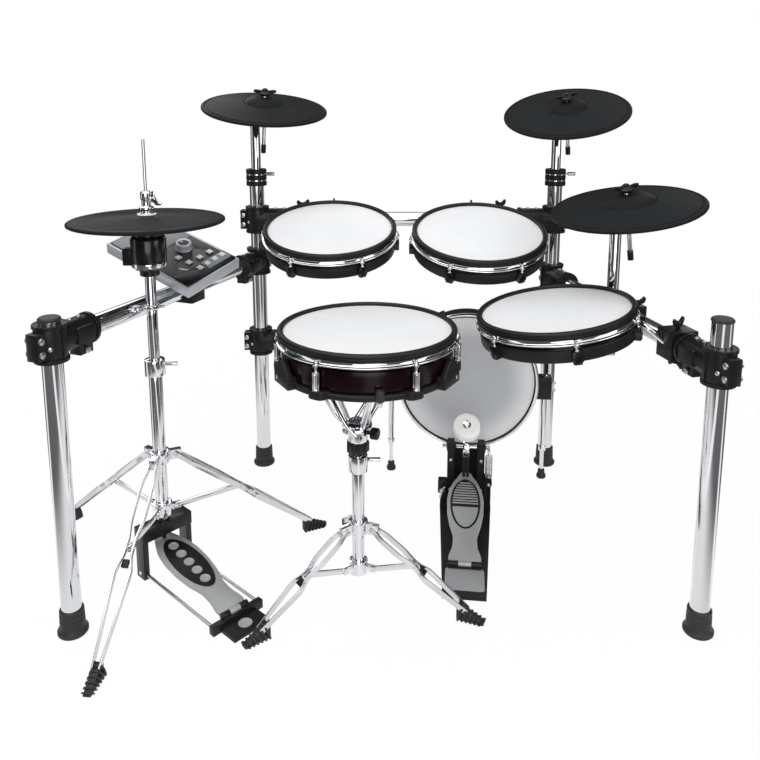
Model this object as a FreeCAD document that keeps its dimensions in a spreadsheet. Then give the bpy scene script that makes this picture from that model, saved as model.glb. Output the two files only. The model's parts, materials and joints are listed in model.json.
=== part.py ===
import FreeCAD, Part
import math
import operator
import os
import Sketcher
from FreeCAD import Placement, Rotation, Vector

# Electronic drum kit on a four-post tube rack, in millimetres and degrees.
# The origin is on the floor under the middle of the kit, +Z is up and the player sits towards -Y.

SIZES = {
    # Clearances shared by all pieces
    "fit_gap": 0.1,
    "slide_gap": 0.3,
    "pin_gap": 0.05,
    "overrun": 2.0,
    # Rack tubes
    "post_radius": 19.0,
    "bar_radius": 19.0,
    "tube_wall": 2.0,
    "front_y": -336.0,
    "rear_y": 356.0,
    "front_left_x": -547.0,
    "front_right_x": 673.0,
    "rear_left_x": -277.0,
    "rear_right_x": 519.0,
    "front_left_top": 630.0,
    "front_right_top": 628.0,
    "rear_top": 818.0,
    "left_bar_z": 590.0,
    "right_bar_z": 545.0,
    "upper_bar_z": 703.0,
    "lower_bar_z": 364.0,
    # Rubber feet and end caps
    "foot_radius": 29.0,
    "foot_height": 52.0,
    "foot_sole": 8.0,
    "foot_flange": 9.0,
    "foot_wall": 4.5,
    "cap_height": 7.0,
    "cap_overhang": 1.5,
    # Post clamps, bar clamps and their bolts
    "clamp_wall": 10.0,
    "clamp_height": 70.0,
    "clamp_reach": 96.0,
    "clamp_ear": 15.0,
    "clamp_ear_width": 26.0,
    "clamp_lip": 34.0,
    "bar_inset": 5.0,
    "bolt_radius": 3.5,
    "bolt_head_radius": 6.5,
    "bolt_head": 5.0,
    "saddle_length": 50.0,
    "saddle_wall": 10.0,
    "collar_height": 44.0,
    "collar_lap": 24.0,
    "collar_wall": 8.0,
    "wing_bolt_radius": 4.5,
    "wing_bolt_length": 26.0,
    # Cymbal arms
    "arm_radius": 12.5,
    "arm_depth": 170.0,
    "sleeve_wall": 8.0,
    "sleeve_height": 70.0,
    "block_width": 46.0,
    "block_depth": 28.0,
    "block_height": 30.0,
    "rod_radius": 4.75,
    "rod_offset": 25.0,
    "rod_tail": 95.0,
    "rod_head": 25.0,
    "tip_radius": 6.5,
    "tip_length": 22.0,
    "seat_radius": 17.0,
    "seat_height": 12.0,
    "seat_gap": 3.2,
    "wing_nut_radius": 11.0,
    "wing_nut_height": 3.0,
    "wing_span": 14.0,
    "wing_height": 11.0,
    "wing_thick": 5.0,
    "pad_lift": 52.0,
    # Cymbal pads
    "pad_radius": 163.0,
    "pad_edge": 8.0,
    "pad_rise": 15.0,
    "pad_skin": 6.0,
    "pad_play": 0.75,
    "pad_hub": 8.0,
    "bell_radius": 46.0,
    "bell_rise": 13.0,
    "bell_top_radius": 26.0,
    "sensor_radius": 58.0,
    "sensor_depth": 10.0,
    # Places and tilts of the three cymbals on arms
    "crash_left_z": 1022.0,
    "crash_left_tilt": 13.0,
    "crash_left_lean": -5.0,
    "crash_right_z": 1011.0,
    "crash_right_tilt": 20.0,
    "crash_right_lean": 9.0,
    "ride_y": -29.0,
    "ride_z": 819.0,
    "ride_tilt": 7.0,
    "ride_lean": 9.0,
    "ride_arm_bottom": 462.0,
    # Tom pads
    "tom_radius": 161.0,
    "tom_rim_rise": 4.0,
    "tom_rim_skirt": 12.0,
    "tom_hoop_wall": 4.0,
    "tom_hoop_height": 30.0,
    "tom_hoop_lip": 4.0,
    "tom_lip_thick": 3.0,
    "tom_head_thick": 1.5,
    "tom_shell_wall": 5.0,
    "tom_depth": 57.0,
    "tom_lug_width": 20.0,
    "tom_lug_depth": 17.0,
    "tom_lug_height": 20.0,
    "tom_lug_lift": 3.0,
    "tom_rod_radius": 3.0,
    "tom_claw_width": 14.0,
    "tom_claw_height": 9.0,
    "tom_lugs": 6,
    # Snare pad
    "snare_radius": 178.0,
    "snare_rim_rise": 4.0,
    "snare_rim_skirt": 12.0,
    "snare_hoop_wall": 4.0,
    "snare_hoop_height": 30.0,
    "snare_hoop_lip": 4.0,
    "snare_lip_thick": 3.0,
    "snare_head_thick": 1.5,
    "snare_shell_wall": 6.0,
    "snare_depth": 72.0,
    "snare_lug_width": 13.0,
    "snare_lug_depth": 17.0,
    "snare_lug_height": 35.0,
    "snare_lug_lift": 3.0,
    "snare_rod_radius": 3.0,
    "snare_claw_width": 14.0,
    "snare_claw_height": 9.0,
    "snare_lugs": 6,
    "base_ring_height": 13.0,
    "base_ring_wall": 12.0,
    "base_ring_overhang": 3.0,
    "base_box_width": 64.0,
    "base_box_depth": 26.0,
    "base_box_height": 24.0,
    "base_box_heading": 30.0,
    # Triggers inside the drums
    "trigger_bar_width": 30.0,
    "trigger_bar_thick": 4.0,
    "trigger_drop": 30.0,
    "trigger_cone_radius": 22.0,
    "trigger_tip_radius": 8.0,
    # Places and tilts of the drums
    "high_tom_x": -69.0,
    "high_tom_y": 144.0,
    "high_tom_z": 718.0,
    "high_tom_tilt": 15.0,
    "mid_tom_x": 290.0,
    "mid_tom_y": 129.0,
    "mid_tom_z": 711.0,
    "mid_tom_tilt": 16.5,
    "floor_tom_x": 410.0,
    "floor_tom_y": -161.0,
    "floor_tom_z": 603.0,
    "floor_tom_tilt": 1.0,
    "floor_tom_lean": 8.0,
    "snare_x": 27.0,
    "snare_y": -216.0,
    "snare_z": 580.0,
    # Tom arms
    "tom_arm_radius": 5.0,
    "tom_arm_bend": 14.0,
    "tom_arm_run": 85.0,
    "floor_tom_arm_run": 48.0,
    "tom_arm_stub": 34.0,
    "bracket_width": 48.0,
    "bracket_depth": 20.0,
    "bracket_height": 20.0,
    "bracket_lift": 3.0,
    # Tripod stands
    "lug_reach": 34.0,
    "lug_height": 22.0,
    "strip_gap": 12.0,
    "strip_thick": 2.5,
    "strip_width": 15.0,
    "strip_lap": 9.0,
    "strut_thick": 5.0,
    "strut_width": 11.0,
    "strut_ear": 3.0,
    "pivot_radius": 2.5,
    "pivot_proud": 1.5,
    "strut_share": 0.44,
    "leg_foot_lift": 17.0,
    "leg_foot_width": 27.0,
    "leg_foot_back": 26.0,
    "leg_foot_front": 30.0,
    "leg_foot_height": 33.0,
    "leg_foot_toe": 8.0,
    "stand_collar_wall": 7.0,
    "stand_collar_height": 26.0,
    # Hi-hat stand
    "hihat_x": -425.0,
    "hihat_y": -126.0,
    "hihat_reach": 350.0,
    "hihat_heading": 25.0,
    "hihat_collar_z": 262.0,
    "hihat_strut_z": 141.0,
    "hihat_tube_radius": 14.0,
    "hihat_tube_bottom": 104.0,
    "hihat_tube_top": 468.0,
    "hihat_inner_radius": 11.0,
    "hihat_inner_wall": 2.0,
    "hihat_inner_bottom": 330.0,
    "height_collar_height": 34.0,
    "controller_radius": 36.0,
    "controller_bottom": 664.0,
    "controller_top": 752.0,
    "jack_box_width": 22.0,
    "jack_box_depth": 16.0,
    "jack_box_height": 34.0,
    "pull_rod_radius": 3.2,
    "pull_rod_top": 944.0,
    "pedal_travel": 16.0,
    "hihat_pad_z": 780.0,
    "hihat_pad_radius": 157.0,
    "hihat_pad_rise": 11.0,
    "clutch_radius": 10.0,
    "clutch_height": 40.0,
    "clutch_nut_radius": 15.0,
    "clutch_nut_height": 9.0,
    # Hi-hat pedal
    "hihat_pedal_heading": 137.0,
    "hihat_heel": 255.0,
    "hihat_board_width": 84.0,
    "hihat_board_neck": 62.0,
    "hihat_board_thick": 8.0,
    "hihat_toe_z": 66.0,
    "hinge_z": 20.0,
    "hinge_radius": 3.0,
    "knuckle_radius": 7.0,
    "knuckle_share": 0.4,
    "heel_plate_length": 50.0,
    "heel_plate_thick": 9.0,
    "hihat_block_width": 120.0,
    "hihat_block_depth": 36.0,
    "hihat_block_bottom": 86.0,
    "hihat_block_height": 28.0,
    "upright_width": 13.0,
    "upright_depth": 30.0,
    "radius_rod_radius": 3.5,
    "radius_rod_z": 12.0,
    # Snare stand
    "snare_stand_x": 7.0,
    "snare_stand_y": -216.0,
    "snare_reach": 242.0,
    "snare_heading": 98.0,
    "snare_collar_z": 152.0,
    "snare_strut_z": 62.0,
    "snare_tube_radius": 12.7,
    "snare_tube_bottom": 44.0,
    "snare_tube_top": 296.0,
    "snare_inner_radius": 9.5,
    "snare_inner_bottom": 150.0,
    "basket_z": 358.0,
    "basket_shelf_share": 0.55,
    "basket_hub_radius": 20.0,
    "basket_hub_height": 32.0,
    "basket_arm_radius": 5.0,
    "basket_bend": 8.0,
    "basket_clear": 3.0,
    "basket_heading": 38.0,
    "basket_hook": 30.0,
    "basket_tip_radius": 8.0,
    "basket_tip_length": 20.0,
    "basket_knob_radius": 22.0,
    "basket_knob_height": 26.0,
    # Kick tower
    "kick_x": 280.0,
    "kick_y": 224.0,
    "kick_z": 295.0,
    "kick_turn": -6.5,
    "kick_hoop_radius": 184.0,
    "kick_hoop_wall": 6.0,
    "kick_hoop_thick": 9.7,
    "kick_hoop_width": 17.0,
    "kick_shell_radius": 174.0,
    "kick_shell_wall": 6.0,
    "kick_depth": 88.0,
    "kick_head_thick": 2.0,
    "kick_lugs": 8,
    "kick_lug_width": 16.0,
    "kick_lug_length": 40.0,
    "kick_lug_height": 13.0,
    "kick_trigger_radius": 40.0,
    "spur_radius": 8.0,
    "spur_spread": 32.0,
    "spur_y": 72.0,
    "spur_top": 292.0,
    "spur_foot_radius": 13.0,
    "spur_foot_height": 26.0,
    "spur_block_width": 34.0,
    "spur_block_height": 60.0,
    # Kick pedal
    "base_plate_thick": 5.0,
    "base_plate_width": 128.0,
    "base_heel_width": 92.0,
    "pedal_heel": 470.0,
    "riser_width": 66.0,
    "riser_depth": 22.0,
    "axle_y": -78.0,
    "axle_z": 150.0,
    "axle_radius": 5.0,
    "axle_half": 60.0,
    "tower_spacing": 38.0,
    "tower_width": 18.0,
    "tower_depth": 30.0,
    "tower_crown": 15.0,
    "cam_radius": 28.0,
    "cam_width": 15.0,
    "beater_rod_radius": 4.0,
    "beater_reach": 135.0,
    "beater_lean": 45.0,
    "beater_radius": 32.0,
    "beater_length": 36.0,
    "beater_edge_share": 0.2,
    "beater_bolt_radius": 9.0,
    "beater_bolt_height": 5.0,
    "board_hinge": 378.0,
    "board_toe_z": 86.0,
    "board_toe": 93.0,
    "board_width": 88.0,
    "board_neck": 72.0,
    "board_thick": 8.0,
    "heel_grip_length": 84.0,
    "heel_grip_thick": 12.0,
    "chain_width": 9.0,
    "chain_thick": 6.0,
    "spring_coil_radius": 8.0,
    "spring_wire_radius": 1.2,
    "spring_pitch": 4.6,
    "spring_turns": 12,
    "spring_lever": 30.0,
    "lever_thick": 6.0,
    "spring_rod_radius": 3.0,
    # Sound module
    "module_x": -427.0,
    "module_y": 60.0,
    "module_z": 677.0,
    "module_heading": 59.3,
    "module_tilt": 16.2,
    "module_roll": 14.9,
    "module_width": 160.0,
    "module_depth": 265.0,
    "module_height": 27.0,
    "module_wall": 3.0,
    "module_border": 6.0,
    "panel_thick": 3.0,
    "circuit_thick": 1.6,
    "circuit_drop": 6.0,
    "circuit_margin": 12.0,
    "standoff_radius": 3.0,
    "strip_height": 4.0,
    "strip_depth": 42.0,
    "dial_radius": 20.0,
    "dial_height": 17.0,
    "dial_shaft_radius": 4.0,
    "dial_x_share": 0.3,
    "dial_y_share": -0.08,
    "button_size": 13.0,
    "button_height": 4.0,
    "button_travel": 1.5,
    "mount_drop": 10.0,
    "mount_y_share": -0.3,
    "mount_knuckle_radius": 8.0,
    "mount_knuckle_width": 30.0,
    "mount_ear": 6.0,
    "mount_pin_radius": 3.5,
}

# Places of the small buttons as shares of the module's half width and half depth
MOVING_BUTTON_SHARES = ((-0.14, -0.74), (0.15, -0.74))
FIXED_BUTTON_SHARES = ((0.44, -0.74), (0.73, -0.74))
PANEL_BUTTON_SHARES = ((-0.16, -0.24), (-0.13, -0.47), (0.26, -0.49), (0.65, -0.49))

doc = FreeCAD.newDocument("drum_kit")
sheet = doc.addObject("Spreadsheet::Sheet", "Sizes")
for row, (alias, amount) in enumerate(SIZES.items(), start=1):
    sheet.set(f"A{row}", alias)
    sheet.set(f"B{row}", str(amount))
    sheet.setAlias(f"B{row}", alias)
doc.recompute()


class Size:
    """A number of the sheet, or a sum of such numbers, with the formula that gives it."""

    def __init__(self, text, value):
        self.text = text
        self.value = value

    def __neg__(self):
        return Size(f"(0 - {self.text})", -self.value)


def as_size(item):
    """A plain count, factor or zero as a Size."""
    return item if isinstance(item, Size) else Size(repr(item), float(item))


def formula(sign, work, swapped=False):
    """A Python operator for sizes that keeps the sheet formula beside the value."""

    def method(one, other):
        first, second = as_size(one), as_size(other)
        if swapped:
            first, second = second, first
        return Size(f"({first.text} {sign} {second.text})", work(first.value, second.value))

    return method


for word, sign, work in (
    ("add", "+", operator.add),
    ("sub", "-", operator.sub),
    ("mul", "*", operator.mul),
    ("truediv", "/", operator.truediv),
):
    setattr(Size, f"__{word}__", formula(sign, work))
    setattr(Size, f"__r{word}__", formula(sign, work, swapped=True))


def number(item):
    return as_size(item).value


def hypotenuse(one, other):
    first, second = as_size(one), as_size(other)
    text = f"sqrt({first.text} * {first.text} + {second.text} * {second.text})"
    return Size(text, math.hypot(first.value, second.value))


def larger(one, other):
    return Size(f"max({one.text}; {other.text})", max(one.value, other.value))


def smaller(one, other):
    return Size(f"min({one.text}; {other.text})", min(one.value, other.value))


class Kit:
    """The sheet's sizes by name."""

    def __getattr__(self, name):
        return Size(f"Sizes.{name}", float(sheet.get(name)))

    def of(self, kind, name):
        """A size of one kind of drum or stand, such as the tom's radius."""
        return getattr(self, f"{kind}_{name}")


kit = Kit()
X_AXIS = Vector(1, 0, 0)
Y_AXIS = Vector(0, 1, 0)
Z_AXIS = Vector(0, 0, 1)
# A turned piece lies along X or Y after these rotations
ALONG_X = Rotation(Z_AXIS, X_AXIS)
ALONG_Y = Rotation(Z_AXIS, Y_AXIS)
# A side outline drawn flat stands up after this rotation, with its thickness towards -Y
UPRIGHT = Rotation(X_AXIS, 90)


def spin(angle, axis=Z_AXIS):
    return Rotation(axis, number(angle))


def put(piece, x=0, y=0, z=0, turn=None):
    """Sets a piece's rotation and ties its place to the sheet."""
    piece.Placement = Placement(Vector(number(x), number(y), number(z)), turn or Rotation())
    for axis, size in zip("xyz", (x, y, z)):
        if isinstance(size, Size):
            piece.setExpression(f"Placement.Base.{axis}", size.text)
    return piece


def solid(kind, x=0, y=0, z=0, turn=None, **sizes):
    """A primitive solid whose sizes and place follow the sheet."""
    piece = doc.addObject(f"Part::{kind}", kind)
    for name, size in sizes.items():
        piece.setExpression(name, as_size(size).text)
    return put(piece, x, y, z, turn)


def cylinder(radius, height, **place):
    return solid("Cylinder", Radius=radius, Height=height, **place)


def cone(bottom, top, height, **place):
    return solid("Cone", Radius1=bottom, Radius2=top, Height=height, **place)


def box(length, width, height, **place):
    return solid("Box", Length=length, Width=width, Height=height, **place)


def middle_box(length, width, height, x=0, y=0, z=0, turn=None):
    """A box about its own middle in plan, standing on its given height."""
    block = box(length, width, height, x=-length / 2, y=-width / 2)
    return placed(block, x, y, z, turn)


def placed(piece, x=0, y=0, z=0, turn=None):
    """The same piece at another place."""
    copy = doc.addObject("Part::Compound", f"{piece.Name}Copy")
    copy.Links = [piece]
    return put(copy, x, y, z, turn)


def group(*pieces):
    together = doc.addObject("Part::Compound", "Group")
    together.Links = list(pieces)
    return together


def around(piece, count, start=0.0):
    """Copies of a piece at even angles about the upright axis."""
    step = 360.0 / count
    return [placed(piece, turn=spin(start + step * turn)) for turn in range(count)]


def fused(*pieces):
    whole = doc.addObject("Part::MultiFuse", "Fused")
    whole.Shapes = list(pieces)
    whole.Refine = True
    return whole


def cut(base, *tools):
    rest = doc.addObject("Part::Cut", "Rest")
    rest.Base = base
    rest.Tool = tools[0] if len(tools) == 1 else group(*tools)
    return rest


def outline(body, role, corners):
    """A closed outline on one origin plane of a body, each corner tied to the sheet."""
    sketch = body.newObject("Sketcher::SketchObject", f"{body.Name}Outline")
    support = [plane for plane in body.Origin.OriginFeatures if plane.Role == role]
    sketch.AttachmentSupport = (support[0], [""])
    sketch.MapMode = "FlatFace"
    points = [Vector(number(across), number(up), 0) for across, up in corners]
    for start, end in zip(points, points[1:] + points[:1]):
        sketch.addGeometry(Part.LineSegment(start, end), False)
    for index, corner in enumerate(corners):
        last = (index - 1) % len(corners)
        sketch.addConstraint(Sketcher.Constraint("Coincident", last, 2, index, 1))
        for kind, axis, size in zip(("DistanceX", "DistanceY"), (-2, -1), corner):
            if not isinstance(size, Size):
                sketch.addConstraint(Sketcher.Constraint("PointOnObject", index, 1, axis))
                continue
            rule = Sketcher.Constraint(kind, -1, 1, index, 1, size.value)
            place = sketch.addConstraint(rule)
            sketch.setExpression(f"Constraints[{place}]", size.text)
    return sketch


def turned(corners, x=0, y=0, z=0, turn=None):
    """A round piece: corners are (radius, height) and the axis is Z."""
    body = doc.addObject("PartDesign::Body", "Turned")
    sketch = outline(body, "XZ_Plane", corners)
    feature = body.newObject("PartDesign::Revolution", f"{body.Name}Revolution")
    feature.Profile = sketch
    feature.ReferenceAxis = (sketch, ["V_Axis"])
    feature.Angle = 360.0
    return put(body, x, y, z, turn)


def plate(corners, thick, x=0, y=0, z=0, turn=None):
    """A flat piece: corners are in plan and the thickness rises from them."""
    body = doc.addObject("PartDesign::Body", "Plate")
    sketch = outline(body, "XY_Plane", corners)
    feature = body.newObject("PartDesign::Pad", f"{body.Name}Pad")
    feature.Profile = sketch
    feature.setExpression("Length", as_size(thick).text)
    return put(body, x, y, z, turn)


def tube(radius, bore, length, **place):
    return turned([(bore, 0), (radius, 0), (radius, length), (bore, length)], **place)


def bent_bar(points, radius, bend):
    """A round bar through points, with an arc of the bend radius at each corner."""
    edges = []
    start = points[0]
    for before, corner, after in zip(points, points[1:], points[2:]):
        inward = (corner - before).normalize()
        onward = (after - corner).normalize()
        half = inward.getAngle(onward) / 2
        setback = number(bend) * math.tan(half)
        first = corner - inward * setback
        last = corner + onward * setback
        side = (onward - inward).normalize()
        crest = corner + side * (number(bend) / math.cos(half) - number(bend))
        edges.append(Part.LineSegment(start, first).toShape())
        edges.append(Part.Arc(first, crest, last).toShape())
        start = last
    edges.append(Part.LineSegment(start, points[-1]).toShape())
    ring = Part.Wire(Part.makeCircle(number(radius), points[0], points[1] - points[0]))
    bar = doc.addObject("Part::Feature", "BentBar")
    bar.Shape = Part.Wire(edges).makePipeShell([ring], True, False)
    return bar


NODES = []
PIVOTS = {}


def node(label, *pieces, x=0, y=0, z=0, turn=None):
    """One named sub-part of the kit, at its place."""
    part = group(*pieces)
    part.Label = label
    NODES.append(put(part, x, y, z, turn))
    return part


def pivot(name, point, axis):
    """Notes where a joint turns or slides, for the print at the end."""
    PIVOTS[name] = (point, axis)


# Rack: four posts, two side bars, two rear bars, clamps, bolts and rubber feet

POSTS = {
    "front_left": (kit.front_left_x, kit.front_y, kit.front_left_top),
    "front_right": (kit.front_right_x, kit.front_y, kit.front_right_top),
    "rear_left": (kit.rear_left_x, kit.rear_y, kit.rear_top),
    "rear_right": (kit.rear_right_x, kit.rear_y, kit.rear_top),
}
BARS = {
    "left": ("front_left", "rear_left", kit.left_bar_z),
    "right": ("front_right", "rear_right", kit.right_bar_z),
    "upper": ("rear_left", "rear_right", kit.upper_bar_z),
    "lower": ("rear_left", "rear_right", kit.lower_bar_z),
}
post_bore = kit.post_radius - kit.tube_wall
bar_bore = kit.bar_radius - kit.tube_wall
bar_start = kit.post_radius + kit.bar_inset


def bar_heading(name):
    """The angle of a bar in plan, from its first post to its second."""
    first, second, height = BARS[name]
    run_x = number(POSTS[second][0]) - number(POSTS[first][0])
    run_y = number(POSTS[second][1]) - number(POSTS[first][1])
    return math.degrees(math.atan2(run_y, run_x))


def point_on_bar(name, y):
    """The place on a side bar's axis at a given depth of the kit."""
    first, second, height = BARS[name]
    start_x, start_y, top = POSTS[first]
    end_x, end_y, top = POSTS[second]
    share = (y - start_y) / (end_y - start_y)
    return start_x + (end_x - start_x) * share, y, height


def make_posts():
    posts = []
    feet = []
    sleeve = kit.post_radius + kit.foot_wall
    bore = kit.post_radius + kit.fit_gap
    foot = turned(
        [
            (0, 0),
            (kit.foot_radius, 0),
            (kit.foot_radius, kit.foot_flange),
            (sleeve, kit.foot_flange * 2),
            (sleeve, kit.foot_height),
            (bore, kit.foot_height),
            (bore, kit.foot_sole),
            (0, kit.foot_sole),
        ]
    )
    cap_radius = kit.post_radius + kit.cap_overhang
    cap = cylinder(cap_radius, kit.cap_height)
    for name, (x, y, top) in POSTS.items():
        length = top - kit.foot_sole
        posts.append(tube(kit.post_radius, post_bore, length, x=x, y=y, z=kit.foot_sole))
        feet.append(placed(foot, x, y))
        if name.startswith("front"):
            feet.append(placed(cap, x, y, top))
    node("rack_posts", *posts)
    node("rack_feet_and_caps", *feet)


def make_bars():
    bars = []
    for name, (first, second, height) in BARS.items():
        start_x, start_y, top = POSTS[first]
        end_x, end_y, top = POSTS[second]
        span = hypotenuse(end_x - start_x, end_y - start_y)
        bar = tube(kit.bar_radius, bar_bore, span - 2 * bar_start, x=bar_start, turn=ALONG_X)
        bars.append(placed(bar, start_x, start_y, height, spin(bar_heading(name))))
    node("rack_bars", *bars)


def post_clamp():
    """A clamp in its own frame: the post is upright and the bar leaves along +X."""
    post_shell = kit.post_radius + kit.clamp_wall
    bar_shell = kit.bar_radius + kit.clamp_wall
    half = kit.clamp_height / 2
    sleeve = cylinder(post_shell, kit.clamp_height, z=-half)
    grip = cylinder(bar_shell, kit.clamp_reach, turn=ALONG_X)
    ear_length = post_shell + kit.clamp_ear
    ear_height = kit.clamp_height - 2 * kit.clamp_wall
    ear = box(
        ear_length,
        kit.clamp_ear_width,
        ear_height,
        x=-ear_length,
        y=-kit.clamp_ear_width / 2,
        z=-ear_height / 2,
    )
    lip = box(
        kit.clamp_lip,
        kit.clamp_ear_width,
        bar_shell + kit.clamp_ear,
        x=kit.clamp_reach - kit.clamp_lip - kit.clamp_wall / 2,
        y=-kit.clamp_ear_width / 2,
        z=-bar_shell - kit.clamp_ear,
    )
    post_hole = cylinder(
        kit.post_radius + kit.fit_gap,
        kit.clamp_height + 2 * kit.overrun,
        z=-half - kit.overrun,
    )
    bar_hole = cylinder(
        kit.bar_radius + kit.fit_gap, kit.clamp_reach, x=bar_start, turn=ALONG_X
    )
    return cut(fused(sleeve, grip, ear, lip), post_hole, bar_hole)


def bolt_head(reach):
    """Two bolt heads, one on each face of an ear of the given half width."""
    head = cylinder(kit.bolt_head_radius, kit.bolt_head)
    near = placed(head, y=-reach, turn=Rotation(Z_AXIS, -Y_AXIS))
    far = placed(head, y=reach, turn=ALONG_Y)
    return group(near, far)


def clamp_bolts():
    """The bolts of one post clamp: two on the post's ear and one on the bar's lip."""
    pair = bolt_head(kit.clamp_ear_width / 2)
    post_shell = kit.post_radius + kit.clamp_wall
    bar_shell = kit.bar_radius + kit.clamp_wall
    ear_x = -post_shell - kit.clamp_ear / 2
    ear_z = (kit.clamp_height / 2 - kit.clamp_wall) * 0.5
    lip_x = kit.clamp_reach - kit.clamp_wall / 2 - kit.clamp_lip / 2
    lip_z = -bar_shell - kit.clamp_ear / 2
    return group(
        placed(pair, ear_x, 0, ear_z),
        placed(pair, ear_x, 0, -ear_z),
        placed(pair, lip_x, 0, lip_z),
    )


def arm_collar():
    """The collar that closes a rear post and guides its cymbal arm."""
    outer = kit.post_radius + kit.collar_wall
    post_fit = kit.post_radius + kit.fit_gap
    arm_fit = kit.arm_radius + kit.slide_gap
    return turned(
        [
            (post_fit, 0),
            (outer, 0),
            (outer, kit.collar_height),
            (arm_fit, kit.collar_height),
            (arm_fit, kit.collar_lap),
            (post_fit, kit.collar_lap),
        ]
    )


def saddle():
    """A block round a bar that lies along X, for what the bar carries."""
    side = 2 * (kit.bar_radius + kit.saddle_wall)
    block = box(
        kit.saddle_length, side, side, x=-kit.saddle_length / 2, y=-side / 2, z=-side / 2
    )
    hole = cylinder(
        kit.bar_radius + kit.fit_gap,
        kit.saddle_length + 2 * kit.overrun,
        x=-kit.saddle_length / 2 - kit.overrun,
        turn=ALONG_X,
    )
    return cut(block, hole)


def arm_saddle():
    """A saddle with an upright sleeve beside it for the ride arm."""
    side = kit.bar_radius + kit.saddle_wall
    offset = side + kit.arm_radius + kit.slide_gap
    outer = kit.arm_radius + kit.sleeve_wall
    sleeve = cylinder(outer, kit.sleeve_height, y=offset, z=-kit.sleeve_height / 2)
    web = box(2 * outer, offset, kit.sleeve_height / 2, x=-outer, z=-kit.sleeve_height / 4)
    bar_hole = cylinder(
        kit.bar_radius + kit.fit_gap,
        kit.saddle_length + 2 * kit.overrun,
        x=-kit.saddle_length / 2 - kit.overrun,
        turn=ALONG_X,
    )
    arm_hole = cylinder(
        kit.arm_radius + kit.slide_gap,
        kit.sleeve_height + 2 * kit.overrun,
        y=offset,
        z=-kit.sleeve_height / 2 - kit.overrun,
    )
    block = box(
        kit.saddle_length,
        2 * side,
        2 * side,
        x=-kit.saddle_length / 2,
        y=-side,
        z=-side,
    )
    return cut(fused(block, sleeve, web), bar_hole, arm_hole), offset


def make_clamps(arms, ride_saddle, module_mount):
    clamp = post_clamp()
    bolts = clamp_bolts()
    collar = arm_collar()
    clamps = []
    heads = []
    for name, (first, second, height) in BARS.items():
        heading = bar_heading(name)
        for post, angle in ((first, heading), (second, heading + 180)):
            x, y, top = POSTS[post]
            clamps.append(placed(clamp, x, y, height, spin(angle)))
            heads.append(placed(bolts, x, y, height, spin(angle)))
    wing = cylinder(
        kit.wing_bolt_radius,
        kit.wing_bolt_length,
        x=kit.post_radius + kit.collar_wall,
        z=kit.collar_height - kit.collar_lap / 2,
        turn=ALONG_X,
    )
    for post in ("rear_left", "rear_right"):
        x, y, top = POSTS[post]
        clamps.append(placed(collar, x, y, top - kit.collar_lap))
        heads.append(placed(wing, x, y, top - kit.collar_lap, spin(-15)))
    block = saddle()
    for name, point, arm in arms:
        seat = placed(block, *point, spin(bar_heading(name)))
        clamps.append(cut(seat, arm))
    clamps.append(ride_saddle)
    clamps.append(module_mount)
    node("rack_clamps", *clamps)
    node("rack_bolts", *heads)


# Cymbals: an arm with a tilting rod, and a rubber pad that rocks on the rod


def cymbal_pad():
    """A rubber pad whose rocking centre is its origin, with a sensor cup under its bell."""
    bore = kit.rod_radius + kit.pad_play
    low = -kit.pad_hub / 2
    high = kit.pad_hub / 2
    bell_foot = high - kit.bell_rise
    edge_top = bell_foot - kit.pad_rise
    return turned(
        [
            (bore, low),
            (kit.bell_top_radius, low),
            (kit.sensor_radius - kit.sensor_depth, low - kit.sensor_depth),
            (kit.sensor_radius, low - kit.sensor_depth - kit.bell_rise / 2),
            (kit.sensor_radius + kit.pad_edge, bell_foot - kit.pad_skin - kit.bell_rise / 4),
            (kit.pad_radius - kit.pad_edge, edge_top - kit.pad_skin / 2),
            (kit.pad_radius - kit.pad_edge / 2, edge_top - kit.pad_edge),
            (kit.pad_radius, edge_top - kit.pad_edge * 0.7),
            (kit.pad_radius, edge_top - kit.pad_edge * 0.2),
            (kit.pad_radius - kit.pad_edge / 2, edge_top + kit.pad_edge * 0.1),
            (kit.bell_radius, bell_foot),
            (kit.bell_radius - kit.bell_rise / 2, bell_foot + kit.bell_rise / 2),
            (kit.bell_top_radius, high),
            (bore, high),
        ]
    )


def wing_nut():
    """The plastic cup and winged nut that hold a pad down, above its origin."""
    bore = kit.rod_radius + kit.fit_gap
    low = kit.pad_hub / 2 + kit.seat_gap
    cup = turned(
        [
            (bore, low),
            (bore + kit.wing_thick / 2, low),
            (kit.seat_radius, low + kit.seat_height / 2),
            (kit.seat_radius, low + kit.seat_height * 0.75),
            (kit.wing_nut_radius, low + kit.seat_height),
            (kit.wing_nut_radius, low + kit.seat_height + kit.wing_nut_height),
            (bore, low + kit.seat_height + kit.wing_nut_height),
        ]
    )
    wing = box(
        kit.wing_span,
        kit.wing_thick,
        kit.wing_height,
        x=kit.wing_nut_radius - kit.wing_thick,
        y=-kit.wing_thick / 2,
        z=low + kit.seat_height * 0.75,
    )
    return fused(cup, wing, placed(wing, turn=spin(180)))


def rod_seat():
    """The sleeve under a pad, sloped so that the pad can rock."""
    bore = kit.rod_radius + kit.fit_gap
    top = -kit.pad_hub / 2 - kit.seat_gap
    return turned(
        [
            (bore, top - kit.seat_height),
            (kit.seat_radius, top - kit.seat_height),
            (kit.seat_radius, top - kit.seat_height / 2),
            (bore + kit.wing_thick / 2, top),
            (bore, top),
        ]
    )


def cymbal_turn(name):
    lean = spin(-kit.of(name, "lean"), Y_AXIS)
    return lean * spin(kit.of(name, "tilt"), X_AXIS)


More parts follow.
